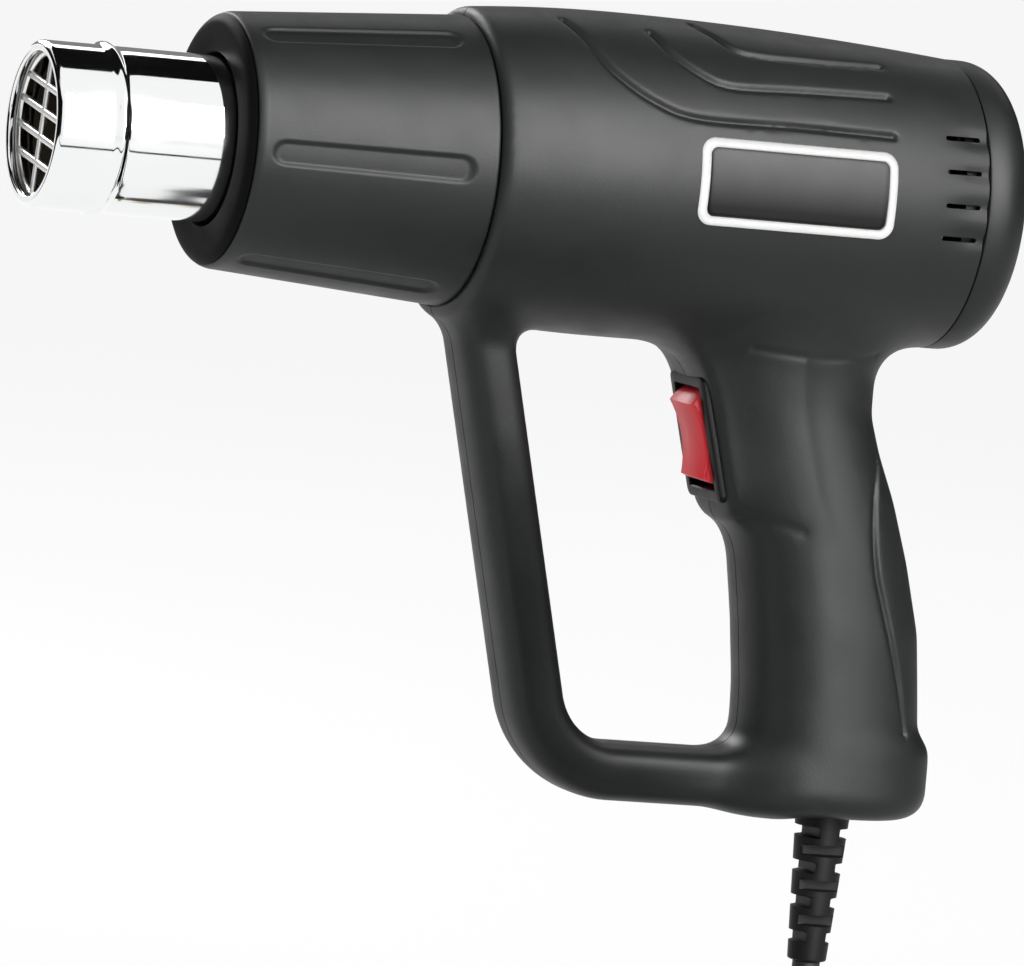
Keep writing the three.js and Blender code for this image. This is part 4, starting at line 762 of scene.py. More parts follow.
def shell_cutters(flank):
    """What is taken out of a half: the barrel's ends, the vents, the switch, the relief and the screws."""
    neck = SPIGOT_RADIUS + GAP
    cutters = [
        drum(SLEEVE_FRONT, SLEEVE_FRONT_RADIUS + GAP, BARREL_FRONT, SLEEVE_REAR_RADIUS + GAP),
        drum(BARREL_REAR, 37, BARREL_REAR + 40, 37),
        drum(BARREL_FRONT - 2, neck, BARREL_FRONT + 3.5, neck),
    ]

    def cut(line, levels, put):
        a, b = line.T
        cutters.append(closed_skin(np.array([put(a, b, level) for level in levels])))

    vent = outline(VENT_LENGTH, VENT_WIDTH, VENT_WIDTH / 2 - 0.01, 4)
    station = BARREL_REAR - VENT_MARGIN - VENT_LENGTH / 2
    for height in VENT_HEIGHTS:
        cut(vent, (22, 40), lambda a, b, y: row(a + station, y * flank, b + height))
    room = 2 * GAP + SWITCH_WALL
    bay = outline(2 * (ROCKER_REACH + room), 2 * (ROCKER_HALF_WIDTH + room), 0.6, 3)
    cut(bay, (-22.0, 6.0), lambda a, b, w: on_panel(row(a, b, w)))
    relief = oval(RELIEF_RADII[0], RELIEF_RADII[0], 2, 48)
    cut(relief, (-145, -120), lambda a, b, z: row(a + CORD_X, b, z))
    if flank > 0:
        well = oval(SCREW_HEAD + GAP, SCREW_HEAD + GAP, 2, 32)
        for x, z, seat, _ in SCREWS:
            cut(well, (seat, 45), lambda a, b, y: row(a + x, y, b + z))
    return cutters


# Materials

def wire(tree, made, inputs):
    """Sets a node's inputs: an output of another node is linked, and any other value is put in."""
    for name, value in inputs.items():
        if isinstance(value, bpy.types.NodeSocket):
            tree.links.new(value, made.inputs[name])
        else:
            made.inputs[name].default_value = value


def add_node(tree, kind, output, inputs):
    made = tree.nodes.new("ShaderNode" + kind)
    wire(tree, made, inputs)
    return made.outputs[output]


def nodes_of(name):
    material = bpy.data.materials.new(name)
    material.use_nodes = True
    tree = material.node_tree
    return material, tree, tree.nodes["Principled BSDF"], add_node(tree, "TexCoord", "Object", {})


def noise(tree, place, scale, detail=4.0, stretch=None):
    if stretch is not None:
        place = add_node(tree, "Mapping", "Vector", {"Vector": place, "Scale": stretch})
    return add_node(tree, "TexNoise", "Fac", {"Vector": place, "Scale": scale, "Detail": detail})


def spread(tree, value, low, high):
    """A noise value mapped to the range low to high."""
    return add_node(tree, "MapRange", "Result", {
        "Value": value, "From Min": NOISE_LOW, "From Max": NOISE_HIGH, "To Min": low, "To Max": high})


def ramped(tree, value, stops):
    """Colours along a value: each stop has its position and its colour."""
    ramp = tree.nodes.new("ShaderNodeValToRGB")
    for made, (position, colour) in zip(ramp.color_ramp.elements, stops):
        made.position = position
        made.color = (*[min(c, 1) for c in colour], 1)
    wire(tree, ramp, {"Fac": value})
    return ramp.outputs["Color"]


def tinted(tree, value, colour, share):
    """The colour, a little darker and lighter by a noise value."""
    darker, lighter = ([c * factor for c in colour] for factor in (1 - share, 1 + share))
    return ramped(tree, value, ((NOISE_LOW, darker), (NOISE_HIGH, lighter)))


def bumped(tree, height, depth):
    return add_node(tree, "Bump", "Normal", {"Strength": 1.0, "Distance": depth, "Height": height})


def finish(name, colour, rough, metal=0.0, grain=900.0, depth=0.00003, share=0.08, patch=60.0, stretch=None,
           shine=0.5):
    """A material with patchy colour, uneven gloss and a fine grain, all by Object coordinates."""
    material, tree, shader, place = nodes_of(name)
    wire(tree, shader, {
        "Base Color": tinted(tree, noise(tree, place, patch, 3), colour, share),
        "Roughness": spread(tree, noise(tree, place, patch * 2.2, 5), rough - 0.04, rough + 0.05),
        "Metallic": metal,
        "Specular IOR Level": shine,
        "Normal": bumped(tree, noise(tree, place, grain, 2, stretch), depth),
    })
    return material


def badge_material():
    """Grey at the upper edge to near black at the lower one, by height on the tool."""
    material, tree, shader, place = nodes_of("badge face")
    middle = (BADGE_AT[1] - GRIP_CENTRE[2]) * MM
    half = (BADGE_SIZE[1] / 2 - BADGE_EDGE) * MM
    height = add_node(tree, "SeparateXYZ", "Z", {"Vector": place})
    span = add_node(tree, "MapRange", "Result", {
        "Value": height, "From Min": middle - half, "From Max": middle + half})
    wire(tree, shader, {
        "Base Color": ramped(tree, span, ((0.15, (0.004,) * 3), (1.0, (0.13,) * 3))),
        "Roughness": spread(tree, noise(tree, place, 150), 0.5, 0.58),
        "Specular IOR Level": 0.12,
        "Normal": bumped(tree, noise(tree, place, 1500, 2), 0.00001),
    })
    return material


def housing_material():
    return finish("charcoal moulding", colours().housing, 0.44, grain=2600, depth=0.000025, share=0.05,
                  shine=0.2)


# Operators, one for each group of like pieces

class HOTAIR_OT_cord(bpy.types.Operator):
    """Mains cord in its coil, with the tie and the plug."""

    bl_idname = "hotair.cord"
    bl_label = "Cord"

    def execute(self, context):
        radius = sizes().cord_diameter / MM / 2
        route, middle, outer = cord_route(radius)
        rubber = finish("cord rubber", colours().rubber, 0.55, grain=1400, depth=0.00002)
        path = even_path(route, 2.0)
        mesh = as_mesh("mains_cord", [closed_skin(swept(path, oval(radius, radius, 2, 20)))])
        cord = add_piece("mains_cord", mesh, rubber, ("cord_lead", "cord_coil", "cord_tail"))
        tie = add_tie(middle, outer, radius)
        plug = add_plug(path[-1], rubber)
        return {"FINISHED"}


def cord_route(radius):
    """Down from the relief, round a quarter bend, in and out through the coil, and on to the plug."""
    top = GRIP_BOTTOM - RELIEF_LENGTH - GAP
    bend_top = top - CORD_STRAIGHT
    level = bend_top - CORD_BEND
    start_y = -CORD_BEND - 12
    rise = 2 * radius + LAYER_GAP
    t = np.linspace(0, math.pi / 2, 25)
    lead = [(CORD_X, 0, top), (CORD_X, 0, top - CORD_STRAIGHT / 2)]
    bend = row(CORD_X, -CORD_BEND * (1 - np.cos(t)), bend_top - CORD_BEND * np.sin(t))
    outer = LOOP_INNER + LOOP_TURNS * LOOP_PITCH
    middle = np.array([CORD_X - outer, start_y - 2 * radius, level])
    turns = np.arange(0, 2 * LOOP_TURNS + 0.5 + 1e-6, 1 / 96)
    inward = np.minimum(turns, LOOP_TURNS)
    outward = np.maximum(turns - LOOP_TURNS - 0.5, 0)
    turning = turns - inward - outward
    climb = eased(np.clip((turns - LOOP_TURNS) / 0.5, 0, 1))
    r = outer - (inward - outward + turning * (1 - 2 * turning)) * LOOP_PITCH
    t = -2 * math.pi * turns
    coil = row(r * np.cos(t), r * np.sin(t), climb * rise) + middle
    tail_start = coil[-1] + (0, 2 * radius, 0)
    floor = level + rise / 2 - (2 * radius + rise + TIE_SLACK + 2 * TIE_THICK) / 2
    y = GAP + (TAIL_LENGTH - GAP) * np.arange(11) / 10
    drop = eased(np.clip(y / (TAIL_LENGTH - 2 * radius), 0, 1)) * (floor + PLUG_HALF_HEIGHT - tail_start[2])
    tail = tail_start + row(0, y, drop)
    start = [(CORD_X, start_y, level)]
    return np.concatenate([lead, bend, start, coil, [tail_start], tail]), middle, outer


def add_tie(middle, outer, radius):
    """Band with round corners round the bundle of loops, swept across its width with soft edges."""
    rise = 2 * radius + LAYER_GAP
    length = outer - LOOP_INNER + 2 * radius + 2 * TIE_SLACK
    height = 2 * radius + rise + TIE_SLACK
    half, soft = TIE_WIDTH / 2, 0.4
    section = [(TIE_THICK, -half + soft), (TIE_THICK, half - soft), (TIE_THICK - soft, half), (0.2, half),
               (0, half - 0.2), (0, -half + 0.2), (0.2, -half), (TIE_THICK - soft, -half)]
    turn = -0.75 * math.pi
    rows = []
    for grow, across in section:
        along, up = outline(length + 2 * grow, height + 2 * grow, 3 + grow, 8).T
        x = along + (outer + LOOP_INNER) / 2
        rows.append(row(x * math.cos(turn) - across * math.sin(turn),
                        x * math.sin(turn) + across * math.cos(turn), up + rise / 2) + middle)
    black = finish("tie plastic", colours().black, 0.4, grain=1200)
    return add_skin("coil_tie", np.array(rows), black, "cord_tie", loop=True)


def add_plug(end, rubber):
    """Plug moulding as ovals along its length, with a ribbed grip, and two flat blades with round ends."""
    stations = np.linspace(0, PLUG_LENGTH, 81)
    wide = np.interp(stations, (0, 12, 14, 16, 19, 37, 39, 40), (4.2, 5.2, 8, 11, 12.4, 12.4, 11.9, 10.8))
    high = np.interp(stations, (0, 12, 14, 16, 37, 39, 40), (4.2, 5, 5.8, 6.2, 6.2, 5.8, 5))
    square = np.interp(stations, (0, 12, 16), (2, 2, 4))
    rib = 0.35
    ribs = np.where((stations > 21) & (stations < 34), rib * np.cos(stations * math.pi), 0) - rib
    rings = []
    for s, w, h, n in zip(stations, wide + ribs, high, square):
        across, up = oval(w, h, n, 64).T
        rings.append(row(across, GAP + s, up) + end)
    made = [add_skin("plug_moulding", np.array(rings), rubber, "plug_body", 50)]
    brass = finish("plug brass", (0.55, 0.37, 0.09), 0.28, 1.0, grain=500, depth=0.00001, stretch=(8, 1, 8))
    along, up = outline(BLADE_LENGTH, BLADE_WIDTH, 1.6, 8).T
    start = PLUG_LENGTH + 2 * GAP + BLADE_LENGTH / 2
    for i, across in enumerate(BLADE_AT, 1):
        rows = [row(across + x, start + along * k, up * k) + end
                for x, k in ((-0.75, 0.97), (-0.6, 1), (0.6, 1), (0.75, 0.97))]
        made.append(add_skin("plug_pin_%d" % i, np.array(rows), brass, "plug_blade_%d" % i))
    return made


class HOTAIR_OT_housing(bpy.types.Operator):
    """Left and right halves of the housing."""

    bl_idname = "hotair.housing"
    bl_label = "Housing"

    def execute(self, context):
        material = housing_material()
        for name, node, flank in (("left_shell", "left_housing", -1), ("right_shell", "right_housing", 1)):
            add_piece(name, half_shell(flank), material, (node,))
        return {"FINISHED"}


class HOTAIR_OT_screws(bpy.types.Operator):
    """Screws with a cross recess, sunk in the right half."""

    bl_idname = "hotair.screws"
    bl_label = "Screws"

    def execute(self, context):
        zinc = finish("screw zinc", (0.42, 0.44, 0.44), 0.32, 1.0, grain=2000, depth=0.00001)
        for i, (x, z, seat, reach) in enumerate(SCREWS, 1):
            rings = screw_rings(x, z, seat + GAP, reach)
            add_skin("shell_screw_%d" % i, rings, zinc, "housing_screw_%d" % i, 30)
        return {"FINISHED"}


def screw_rings(x, z, seat, reach):
    """Shank, underside and domed head as rings about the screw's axis; the cross is sunk into the dome."""
    top = seat + SCREW_HEAD_HEIGHT
    side = np.array([
        (0.4, reach), (SCREW_RADIUS, reach + 1), (SCREW_RADIUS, seat), (SCREW_HEAD - 0.2, seat),
        (SCREW_HEAD, seat + 0.3), (SCREW_HEAD, top - 1.1)])
    t = circle(64)
    a = np.linspace(SCREW_HEAD - 0.05, 0.05, 14)[:, None]
    arm = np.minimum(np.abs(a * np.cos(t + 0.4)), np.abs(a * np.sin(t + 0.4)))
    sunk = 1.2 * np.clip((0.5 - arm) / 0.15, 0, 1) * np.clip((1.75 - a) / 0.3, 0, 1)
    dome = top - (a / SCREW_HEAD) ** 2 - sunk
    parts = ((side[:, :1], side[:, 1:]), (a, dome))
    return np.concatenate([row(x + r * np.cos(t), y, z + r * np.sin(t)) for r, y in parts])


class HOTAIR_OT_outlet(bpy.types.Operator):
    """Steel outlet tube, its guard and the heating wire behind it."""

    bl_idname = "hotair.outlet"
    bl_label = "Outlet"

    def execute(self, context):
        chrome = finish("bright steel", (0.90, 0.91, 0.91), 0.06, 1.0, grain=260, depth=0.000004, share=0.02,
                        patch=25, stretch=(0.3, 1, 1))
        tube = turned(tube_profile(), 160)
        add_skin("outlet_tube", tube, chrome, "nozzle_tube", 50, loop=True)
        satin = finish("guard steel", (0.92, 0.92, 0.91), 0.34, 1.0, grain=900, depth=0.00001, share=0.03)
        guard = as_mesh("outlet_guard", guard_parts(), 40)
        add_piece("outlet_guard", guard, satin, ("nozzle_grille",))
        heater = finish("heating wire", (0.26, 0.22, 0.19), 0.4, 1.0, grain=3000)
        add_skin("element_wire", element_rings(), heater, "heating_coil")
        return {"FINISHED"}


def tube_profile():
    """Round the sheet once: rolled rim, bead as half a cosine wave, flange at the rear, and back inside."""
    bore = TUBE_RADIUS - TUBE_SHEET
    roll = 1.3
    rim = arc((roll, TUBE_RADIUS - roll), roll, 180, 90, 8)
    x = np.linspace(-BEAD_HALF, BEAD_HALF, 21)
    wave = 0.5 * (1 + np.cos(math.pi * x / BEAD_HALF))
    bead = list(zip(BEAD_AT + x, TUBE_RADIUS + sizes().bead_rise / MM * wave))
    steps = [(a, TUBE_RADIUS) for a in np.linspace(BEAD_AT + BEAD_HALF + 2, TUBE_REAR - 4, 12)]
    flange = [(TUBE_REAR - 2.0, TUBE_RADIUS), (TUBE_REAR - 1.2, TUBE_RADIUS + 0.8),
              (TUBE_REAR - 1.2, FLANGE_RADIUS), (TUBE_REAR, FLANGE_RADIUS), (TUBE_REAR, bore + 0.8),
              (TUBE_REAR - 0.8, bore)]
    inner = [(BEAD_AT + 1.4, bore), (BEAD_AT, bore + 0.6), (BEAD_AT - 1.4, bore), (1.9, bore)]
    lip = [(1.3, bore - 0.3), (1.0, bore - 0.8), (1.0, RIM_INNER_RADIUS + 0.1)]
    mouth = arc((0.5, RIM_INNER_RADIUS + 0.5), 0.5, 270, 180, 5)
    return mouth + rim + bead + steps + flange + inner + lip


def guard_parts():
    """A flat ring with round edges, an upright bar and four cross bars, turned a little about the axis."""
    reach = TUBE_RADIUS - TUBE_SHEET - GAP - 1.1
    middle = 1.9 + 0.6
    t = circle(16)
    ring = np.stack([middle + 0.6 * np.cos(t), reach + 1.1 * np.sin(t)], -1)
    parts = [closed_skin(turned(ring, 96), loop=True)]
    c, s = math.cos(GRILLE_TURN), math.sin(GRILLE_TURN)
    turn = np.array([[1, 0, 0], [0, c, s], [0, -s, c]])
    deep, wide = oval(0.62, 0.78, 3, 20).T
    for off, upright in ((0, True), *((step * GRILLE_PITCH, False) for step in (-1.5, -0.5, 0.5, 1.5))):
        half = math.sqrt(reach ** 2 - off ** 2)
        along = np.linspace(-half, half, 12)[:, None]
        across = (wide + off, along) if upright else (along, wide + off)
        parts.append(closed_skin(row(deep + middle, *across) @ turn))
    return parts


def element_rings():
    """Helix of seven turns round the boards' edges, its rear end bent straight back."""
    front, rear = ELEMENT_ENDS
    s = np.linspace(0, 1, ELEMENT_TURNS * 40 + 1)
    t = 2 * math.pi * ELEMENT_TURNS * s + math.pi / 4
    path = row(front + (rear - front) * s, ELEMENT_RADIUS * np.cos(t), ELEMENT_RADIUS * np.sin(t))
    way = np.array([0, -math.sin(math.pi / 4), math.cos(math.pi / 4)])
    end = [path[-1] + way * a + (b, 0, 0) for a, b in ((1.6, 0.8), (2.1, 2.6), (2.1, 5.0))]
    return swept(np.concatenate([path, end]), oval(ELEMENT_WIRE, ELEMENT_WIRE, 2, 10))


class HOTAIR_OT_sleeve(bpy.types.Operator):
    """Front sleeve with its channels, and the black ring that is its nose."""

    bl_idname = "hotair.sleeve"
    bl_label = "Sleeve"

    def execute(self, context):
        rings = turned(sleeve_profile(), 600, channel_dent)
        add_skin("sleeve_shell", rings, housing_material(), "front_sleeve", 65, loop=True)
        black = finish("ring black", colours().black, 0.5, grain=1800, shine=0.03)
        add_skin("sleeve_ring", turned(ring_profile(), 128), black, "front_ring", loop=True)
        return {"FINISHED"}


def lip_line(depths):
    """The rounded front edge at depths behind the face: a quarter of an ellipse up to the taper."""
    turn = np.arcsin(1 - depths / SLEEVE_LIP)
    radius = SLEEVE_FRONT_RADIUS - 0.8 * SLEEVE_LIP * (1 - np.cos(turn))
    return list(zip(SLEEVE_FRONT + depths, radius))


def ring_profile():
    """The rounded nose of the sleeve, and the part behind it that sits in the sleeve's face."""
    rear, bore = SLEEVE_FRONT + RING_NOSE, TUBE_RADIUS + 2 * GAP
    edge = lip_line(np.linspace(0, RING_NOSE - 0.15, 16))
    return [(rear + RING_DEPTH, bore), (SLEEVE_FRONT + 0.9, bore), (SLEEVE_FRONT + 0.25, bore + 0.25),
            (SLEEVE_FRONT, bore + 0.9), *edge, (rear, edge[-1][1] - 0.1), (rear, RING_RADIUS),
            (rear + RING_DEPTH, RING_RADIUS)]


def sleeve_line(x):
    """Outside radius of the sleeve behind its rounded lip: a straight taper."""
    start = SLEEVE_FRONT + SLEEVE_LIP
    share = (x - start) / (SLEEVE_REAR - start)
    return SLEEVE_FRONT_RADIUS + (SLEEVE_REAR_RADIUS - SLEEVE_FRONT_RADIUS) * share


def sleeve_profile():
    """The lip behind the nose ring, the taper, the step to the spigot and the inside."""
    start = RING_NOSE + GAP
    lip = lip_line(np.linspace(start + 0.15, SLEEVE_LIP, LIP_ROWS - 1))
    lip = [(SLEEVE_FRONT + start, lip[0][1] - 0.2), *lip]
    x = np.linspace(SLEEVE_FRONT + SLEEVE_LIP + 0.5, SLEEVE_REAR - 0.6, TAPER_ROWS)
    taper = list(zip(x, sleeve_line(x)))
    seat = SLEEVE_FRONT + RING_NOSE + RING_DEPTH + GAP
    rib, end, rise = SPIGOT_RIB
    rear = [(SLEEVE_REAR - 0.2, SLEEVE_REAR_RADIUS - 0.1), (SLEEVE_REAR, SLEEVE_REAR_RADIUS - 0.5),
            (SLEEVE_REAR, SPIGOT_RADIUS), (rib, SPIGOT_RADIUS), (rib, SPIGOT_RADIUS + rise),
            (end, SPIGOT_RADIUS + rise), (end, SPIGOT_RADIUS - WALL), (SLEEVE_REAR - 1, SPIGOT_RADIUS - WALL)]
    inside = [(SLEEVE_REAR - 4, SLEEVE_REAR_RADIUS - WALL), (seat + 3, SLEEVE_FRONT_RADIUS - WALL),
              (seat + 2, RING_RADIUS - WALL), (seat, RING_RADIUS - WALL), (seat, RING_RADIUS + GAP),
              (SLEEVE_FRONT + start, RING_RADIUS + GAP)]
    return lip + taper + rear + inside


def channel_dent(x, t):
    """Depth of the channels: full inside a long round-ended strip, falling to nothing over its edge."""
    middle = SLEEVE_FRONT + SLEEVE_LIP + 1 + CHANNEL_LENGTH / 2
    sector = 2 * math.pi / CHANNEL_COUNT
    around = (t + math.pi + sector / 2) % sector - sector / 2
    across = around * sleeve_line(middle)
    past = np.maximum(np.abs(x - middle) - (CHANNEL_LENGTH - CHANNEL_WIDTH) / 2, 0)
    share = np.clip(CHANNEL_WIDTH / 2 - np.hypot(past, across), 0, 1)
    on_taper = (x > SLEEVE_FRONT + SLEEVE_LIP + 0.4) & (x < SLEEVE_REAR - 0.5)
    outside = np.arange(len(x))[:, None] < LIP_ROWS + TAPER_ROWS
    return np.where(on_taper & outside, sizes().channel_depth / MM * eased(share), 0)


class HOTAIR_OT_cap(bpy.types.Operator):
    """Rear cap with its intake slots and hub."""

    bl_idname = "hotair.cap"
    bl_label = "Cap"

    def execute(self, context):
        mesh = as_mesh("cap", [closed_skin(turned(cap_profile(), 160), loop=True)])
        inner, outer = HUB_RADIUS + 1.6, BARREL_RADII[2] - CAP_ROUNDING - 0.6
        r, s = outline(outer - inner, INTAKE_WIDTH, INTAKE_WIDTH / 2 - 0.01, 6).T
        r = r + (inner + outer) / 2
        cutters = []
        for turn in circle(INTAKE_COUNT):
            y, z = r * math.sin(turn) + s * math.cos(turn), r * math.cos(turn) - s * math.sin(turn)
            cutters.append(closed_skin(np.array([row(x, y, z) for x in (CAP_REAR - 6, CAP_REAR + 4)])))
        mesh = cut_mesh(mesh, cutters)
        add_piece("intake_cap", mesh, housing_material(), ("rear_cap",))
        return {"FINISHED"}


def cap_profile():
    """Spigot, rounded rim, flat intake face, raised hub, and the wall's inside."""
    radius = BARREL_RADII[2]
    spigot = radius - WALL - GAP
    front, bend = BARREL_REAR - CAP_SPIGOT, CAP_REAR - CAP_ROUNDING
    rim = arc((bend, radius - CAP_ROUNDING), CAP_ROUNDING, 90, 0, 16)
    hub = CAP_REAR + HUB_RISE
    out = [(front, spigot), (CAP_FRONT, spigot), (CAP_FRONT, radius - 0.6), (CAP_FRONT + 0.2, radius - 0.15),
           (CAP_FRONT + 0.6, radius)]
    face = [(CAP_REAR, HUB_RADIUS + 1.0), (CAP_REAR + 0.3, HUB_RADIUS + 0.3),
            (CAP_REAR + 1, HUB_RADIUS + 0.1)]
    top = arc((hub - 0.9, HUB_RADIUS - 0.9), 0.9, 90, 0, 6)
    inside = [(hub, 0.01), (hub - CAP_WALL, 0.01), (hub - CAP_WALL, HUB_RADIUS - CAP_WALL),
              (CAP_REAR - CAP_WALL, HUB_RADIUS - CAP_WALL), (CAP_REAR - CAP_WALL, radius - CAP_ROUNDING - 1),
              (bend + 3.4, radius - 5), (bend, spigot - 2), (front, spigot - 2)]
    return out + rim + face + top + inside


class HOTAIR_OT_badge(bpy.types.Operator):
    """White badge frame and the bare plate in it."""

    bl_idname = "hotair.badge"
    bl_label = "Badge"

    def execute(self, context):
        white = finish("badge white", colours().badge, 0.35, grain=900, depth=0.00001, share=0.02,
                       shine=0.03)
        foot = -0.4
        t = np.linspace(0, math.pi, 15)
        inset = BADGE_EDGE / 2 * (1 - np.cos(t))
        height = foot + (sizes().badge_rise / MM - foot) * np.maximum(np.sin(t), 0) ** 0.6
        rows = np.array([badge_row(a, b) for a, b in zip(inset, height)])
        add_skin("badge_rim", rows, white, "badge_frame", 60, loop=True)
        edge = BADGE_EDGE + GAP
        under = [badge_row(edge + 0.3, foot, share) for share in (0.02, 0.3, 0.6, 0.9, 1)]
        side = [badge_row(edge, -0.3), badge_row(edge, 0.3)]
        over = [badge_row(edge + 0.15, 0.4, share) for share in (1, *np.linspace(0.96, 0.02, 30))]
        rows = np.array(under + side + over)
        add_skin("badge_face", rows, badge_material(), "badge_plate", 40)
        return {"FINISHED"}


def badge_row(inset, height, share=1.0):
    """The badge's outline drawn in by inset, shrunk to a share, and laid on the barrel at height."""
    line = outline(BADGE_SIZE[0] - 2 * inset, BADGE_SIZE[1] - 2 * inset, BADGE_CORNER - inset * 0.8, 8)
    ahead = np.roll(line, -1, 0) - line
    line = np.stack([line + ahead * part for part in np.linspace(0, 0.9, 10)], 1)
    x, z = (line.reshape(-1, 2) * share + BADGE_AT).T
    r = barrel_radius(x) + height
    return row(x, -np.sqrt(r ** 2 - z ** 2), z)


class HOTAIR_OT_switch(bpy.types.Operator):
    """Black switch body with its bezel, and the red rocker."""

    bl_idname = "hotair.switch"
    bl_label = "Switch"

    def execute(self, context):
        black = finish("switch black", colours().black, 0.4, grain=1500, depth=0.00001, shine=0.14)
        add_skin("switch_bezel", bezel_rings(), black, "switch_body", 30)
        red = finish("rocker red", colours().rocker, 0.36, grain=1200, depth=0.00001, share=0.05,
                     shine=0.12)
        add_skin("rocker_key", rocker_rings(), red, "rocker", 30, body="rocker")
        return {"FINISHED"}


def bezel_rings():
    """The switch's outline grown and raised in turn: under the box, up its side, round the bezel, inside."""
    length, width = ROCKER_REACH + GAP + SWITCH_WALL, ROCKER_HALF_WIDTH + GAP + SWITCH_WALL
    top, floor = GAP + BEZEL_THICK, SWITCH_WALL - SWITCH_DEPTH
    section = [(-0.1, 0.02, -SWITCH_DEPTH), (0, 1, -SWITCH_DEPTH), (0, 1, GAP), (BEZEL_EDGE, 1, GAP),
               (BEZEL_EDGE, 1, top - 0.7), (BEZEL_EDGE - 0.2, 1, top - 0.2), (BEZEL_EDGE - 0.7, 1, top),
               (0.3 - SWITCH_WALL, 1, top), (-SWITCH_WALL, 1, top - 0.3), (-SWITCH_WALL, 1, floor),
               (-SWITCH_WALL, 0.02, floor)]
    rows = []
    for grow, share, w in section:
        line = outline(2 * (length + grow), 2 * (width + grow), max(1.0 + grow * 0.5, 0.3), 6) * share
        rows.append(on_panel(row(*line.T, w)))
    return np.array(rows)


def rocker_rings():
    """The rocker's side outline carried across its width, drawn in at both faces for a soft edge."""
    top = GAP + ROCKER_PROUD + PIVOT_DEPTH
    corner = math.asin(top / ROCKER_REACH)
    reach = ROCKER_REACH * math.cos(corner)
    low, high = math.degrees(-0.35), math.degrees(corner)
    right = arc((0, 0), ROCKER_REACH, low, high, 20)
    s = np.linspace(reach, -reach, 41)[1:-1]
    dish = list(zip(s, top - ROCKER_DISH * (1 - (s / reach) ** 2)))
    left = arc((0, 0), ROCKER_REACH, 180 - high, 180 - low, 20)
    line = np.array(right + dish + left + [(-3, -7), (3, -7)])
    ways = unit(np.roll(line, -1, 0) - np.roll(line, 1, 0))
    inward = np.stack([-ways[:, 1], ways[:, 0]], -1)
    edge = ((0, 0.6), (0.18, 0.2), (0.6, 0))
    half = ROCKER_HALF_WIDTH
    rows = []
    for across, inset in (*((a - half, i) for a, i in edge), *((half - a, i) for a, i in edge[::-1])):
        down, out = (line + inward * inset).T
        rows.append(on_panel(row(down, across, out - PIVOT_DEPTH)))
    return np.array(rows)


class HOTAIR_OT_relief(bpy.types.Operator):
    """Slotted strain relief under the grip."""

    bl_idname = "hotair.relief"
    bl_label = "Strain relief"

    def execute(self, context):
        rubber = finish("relief rubber", colours().rubber, 0.5, grain=1500, depth=0.00002, shine=0.18)
        add_skin("relief_sleeve", relief_rings(), rubber, "strain_relief", 45)
        return {"FINISHED"}


def relief_rings():
    """A taper whose radius drops to the core inside each slot; the slots lie across in turn along X and Y."""
    end = GRIP_BOTTOM - RELIEF_LENGTH
    wide, thin = RELIEF_RADII
    z = np.arange(end + 0.4, GRIP_BOTTOM - GAP, 0.12)[:, None]
    t = circle(96)
    r = thin + (wide - thin) * (z - end) / RELIEF_LENGTH + 0 * t
    for i in range(int((RELIEF_LENGTH - 5) / RELIEF_PITCH)):
        middle = GRIP_BOTTOM - 4 - i * RELIEF_PITCH
        inside = np.clip((RELIEF_SLOT / 2 + 0.1 - np.abs(z - middle)) / 0.2, 0, 1)
        way = np.abs(np.cos(t) if i % 2 == 0 else np.sin(t))
        flat = RELIEF_CORE / np.maximum(way, 0.2)
        r = r + (np.minimum(flat, r) - r) * inside
    neck, collar = wide - GAP, GRIP_BOTTOM + 3.9 + GAP
    foot = np.array([(RELIEF_BORE, end), (thin - 0.4, end), (thin - 0.1, end + 0.15)])
    head = np.array([(neck, GRIP_BOTTOM - GAP), (neck, collar), (neck + 2, collar), (neck + 2, collar + 5),
                     (RELIEF_BORE, collar + 5)])
    parts = ((foot[:, :1], foot[:, 1:]), (r, z), (head[:, :1], head[:, 1:]))
    return np.concatenate([row(CORD_X + a * np.cos(t), a * np.sin(t), h) for a, h in parts])


class HOTAIR_OT_solids(bpy.types.Operator):
    """Finishes of the solids inside, which keep showing through the openings."""

    bl_idname = "hotair.solids"
    bl_label = "Inner solids"

    def execute(self, context):
        finishes = {slot: finish(slot + " solid", *values) for slot, values in SOLID_FINISHES.items()}
        slots = {part["node"]: part["material_slot"] for part in frame["record"]["subparts"]}
        for name, node in frame["nodes"].items():
            if node.hide_render:
                continue
            node.data.materials.clear()
            node.data.materials.append(finishes[slots[name]])
        return {"FINISHED"}


class HOTAIR_OT_stage(bpy.types.Operator):
    """Camera at the photograph's viewpoint, pale floor, soft lamps, dark cards and a plain world."""

    bl_idname = "hotair.stage"
    bl_label = "Stage"

    def execute(self, context):
        scene = context.scene
        scene.view_settings.view_transform = "Standard"
        add_camera(scene)
        add_floor()
        add_world(scene)
        for lamp in LAMPS:
            add_lamp(*lamp)
        for cards, form in ((LEVEL_CARDS, level_card), (UPRIGHT_CARDS, upright_card)):
            for name, degrees, away, glow in cards:
                add_card(name, form(degrees, away), glow)
        for across, heights in LOOP_FLAGS:
            x, z = np.meshgrid(across, heights)
            add_card("loop flag", row(x, FLAG_Y, z), 0.0).visible_shadow = True
        return {"FINISHED"}


def way_to(turn, rise):
    """Direction from the tool: turn is counted from -Y towards +X, rise above the horizon, in degrees."""
    a, e = math.radians(turn), math.radians(rise)
    return Vector((math.sin(a) * math.cos(e), -math.cos(a) * math.cos(e), math.sin(e)))


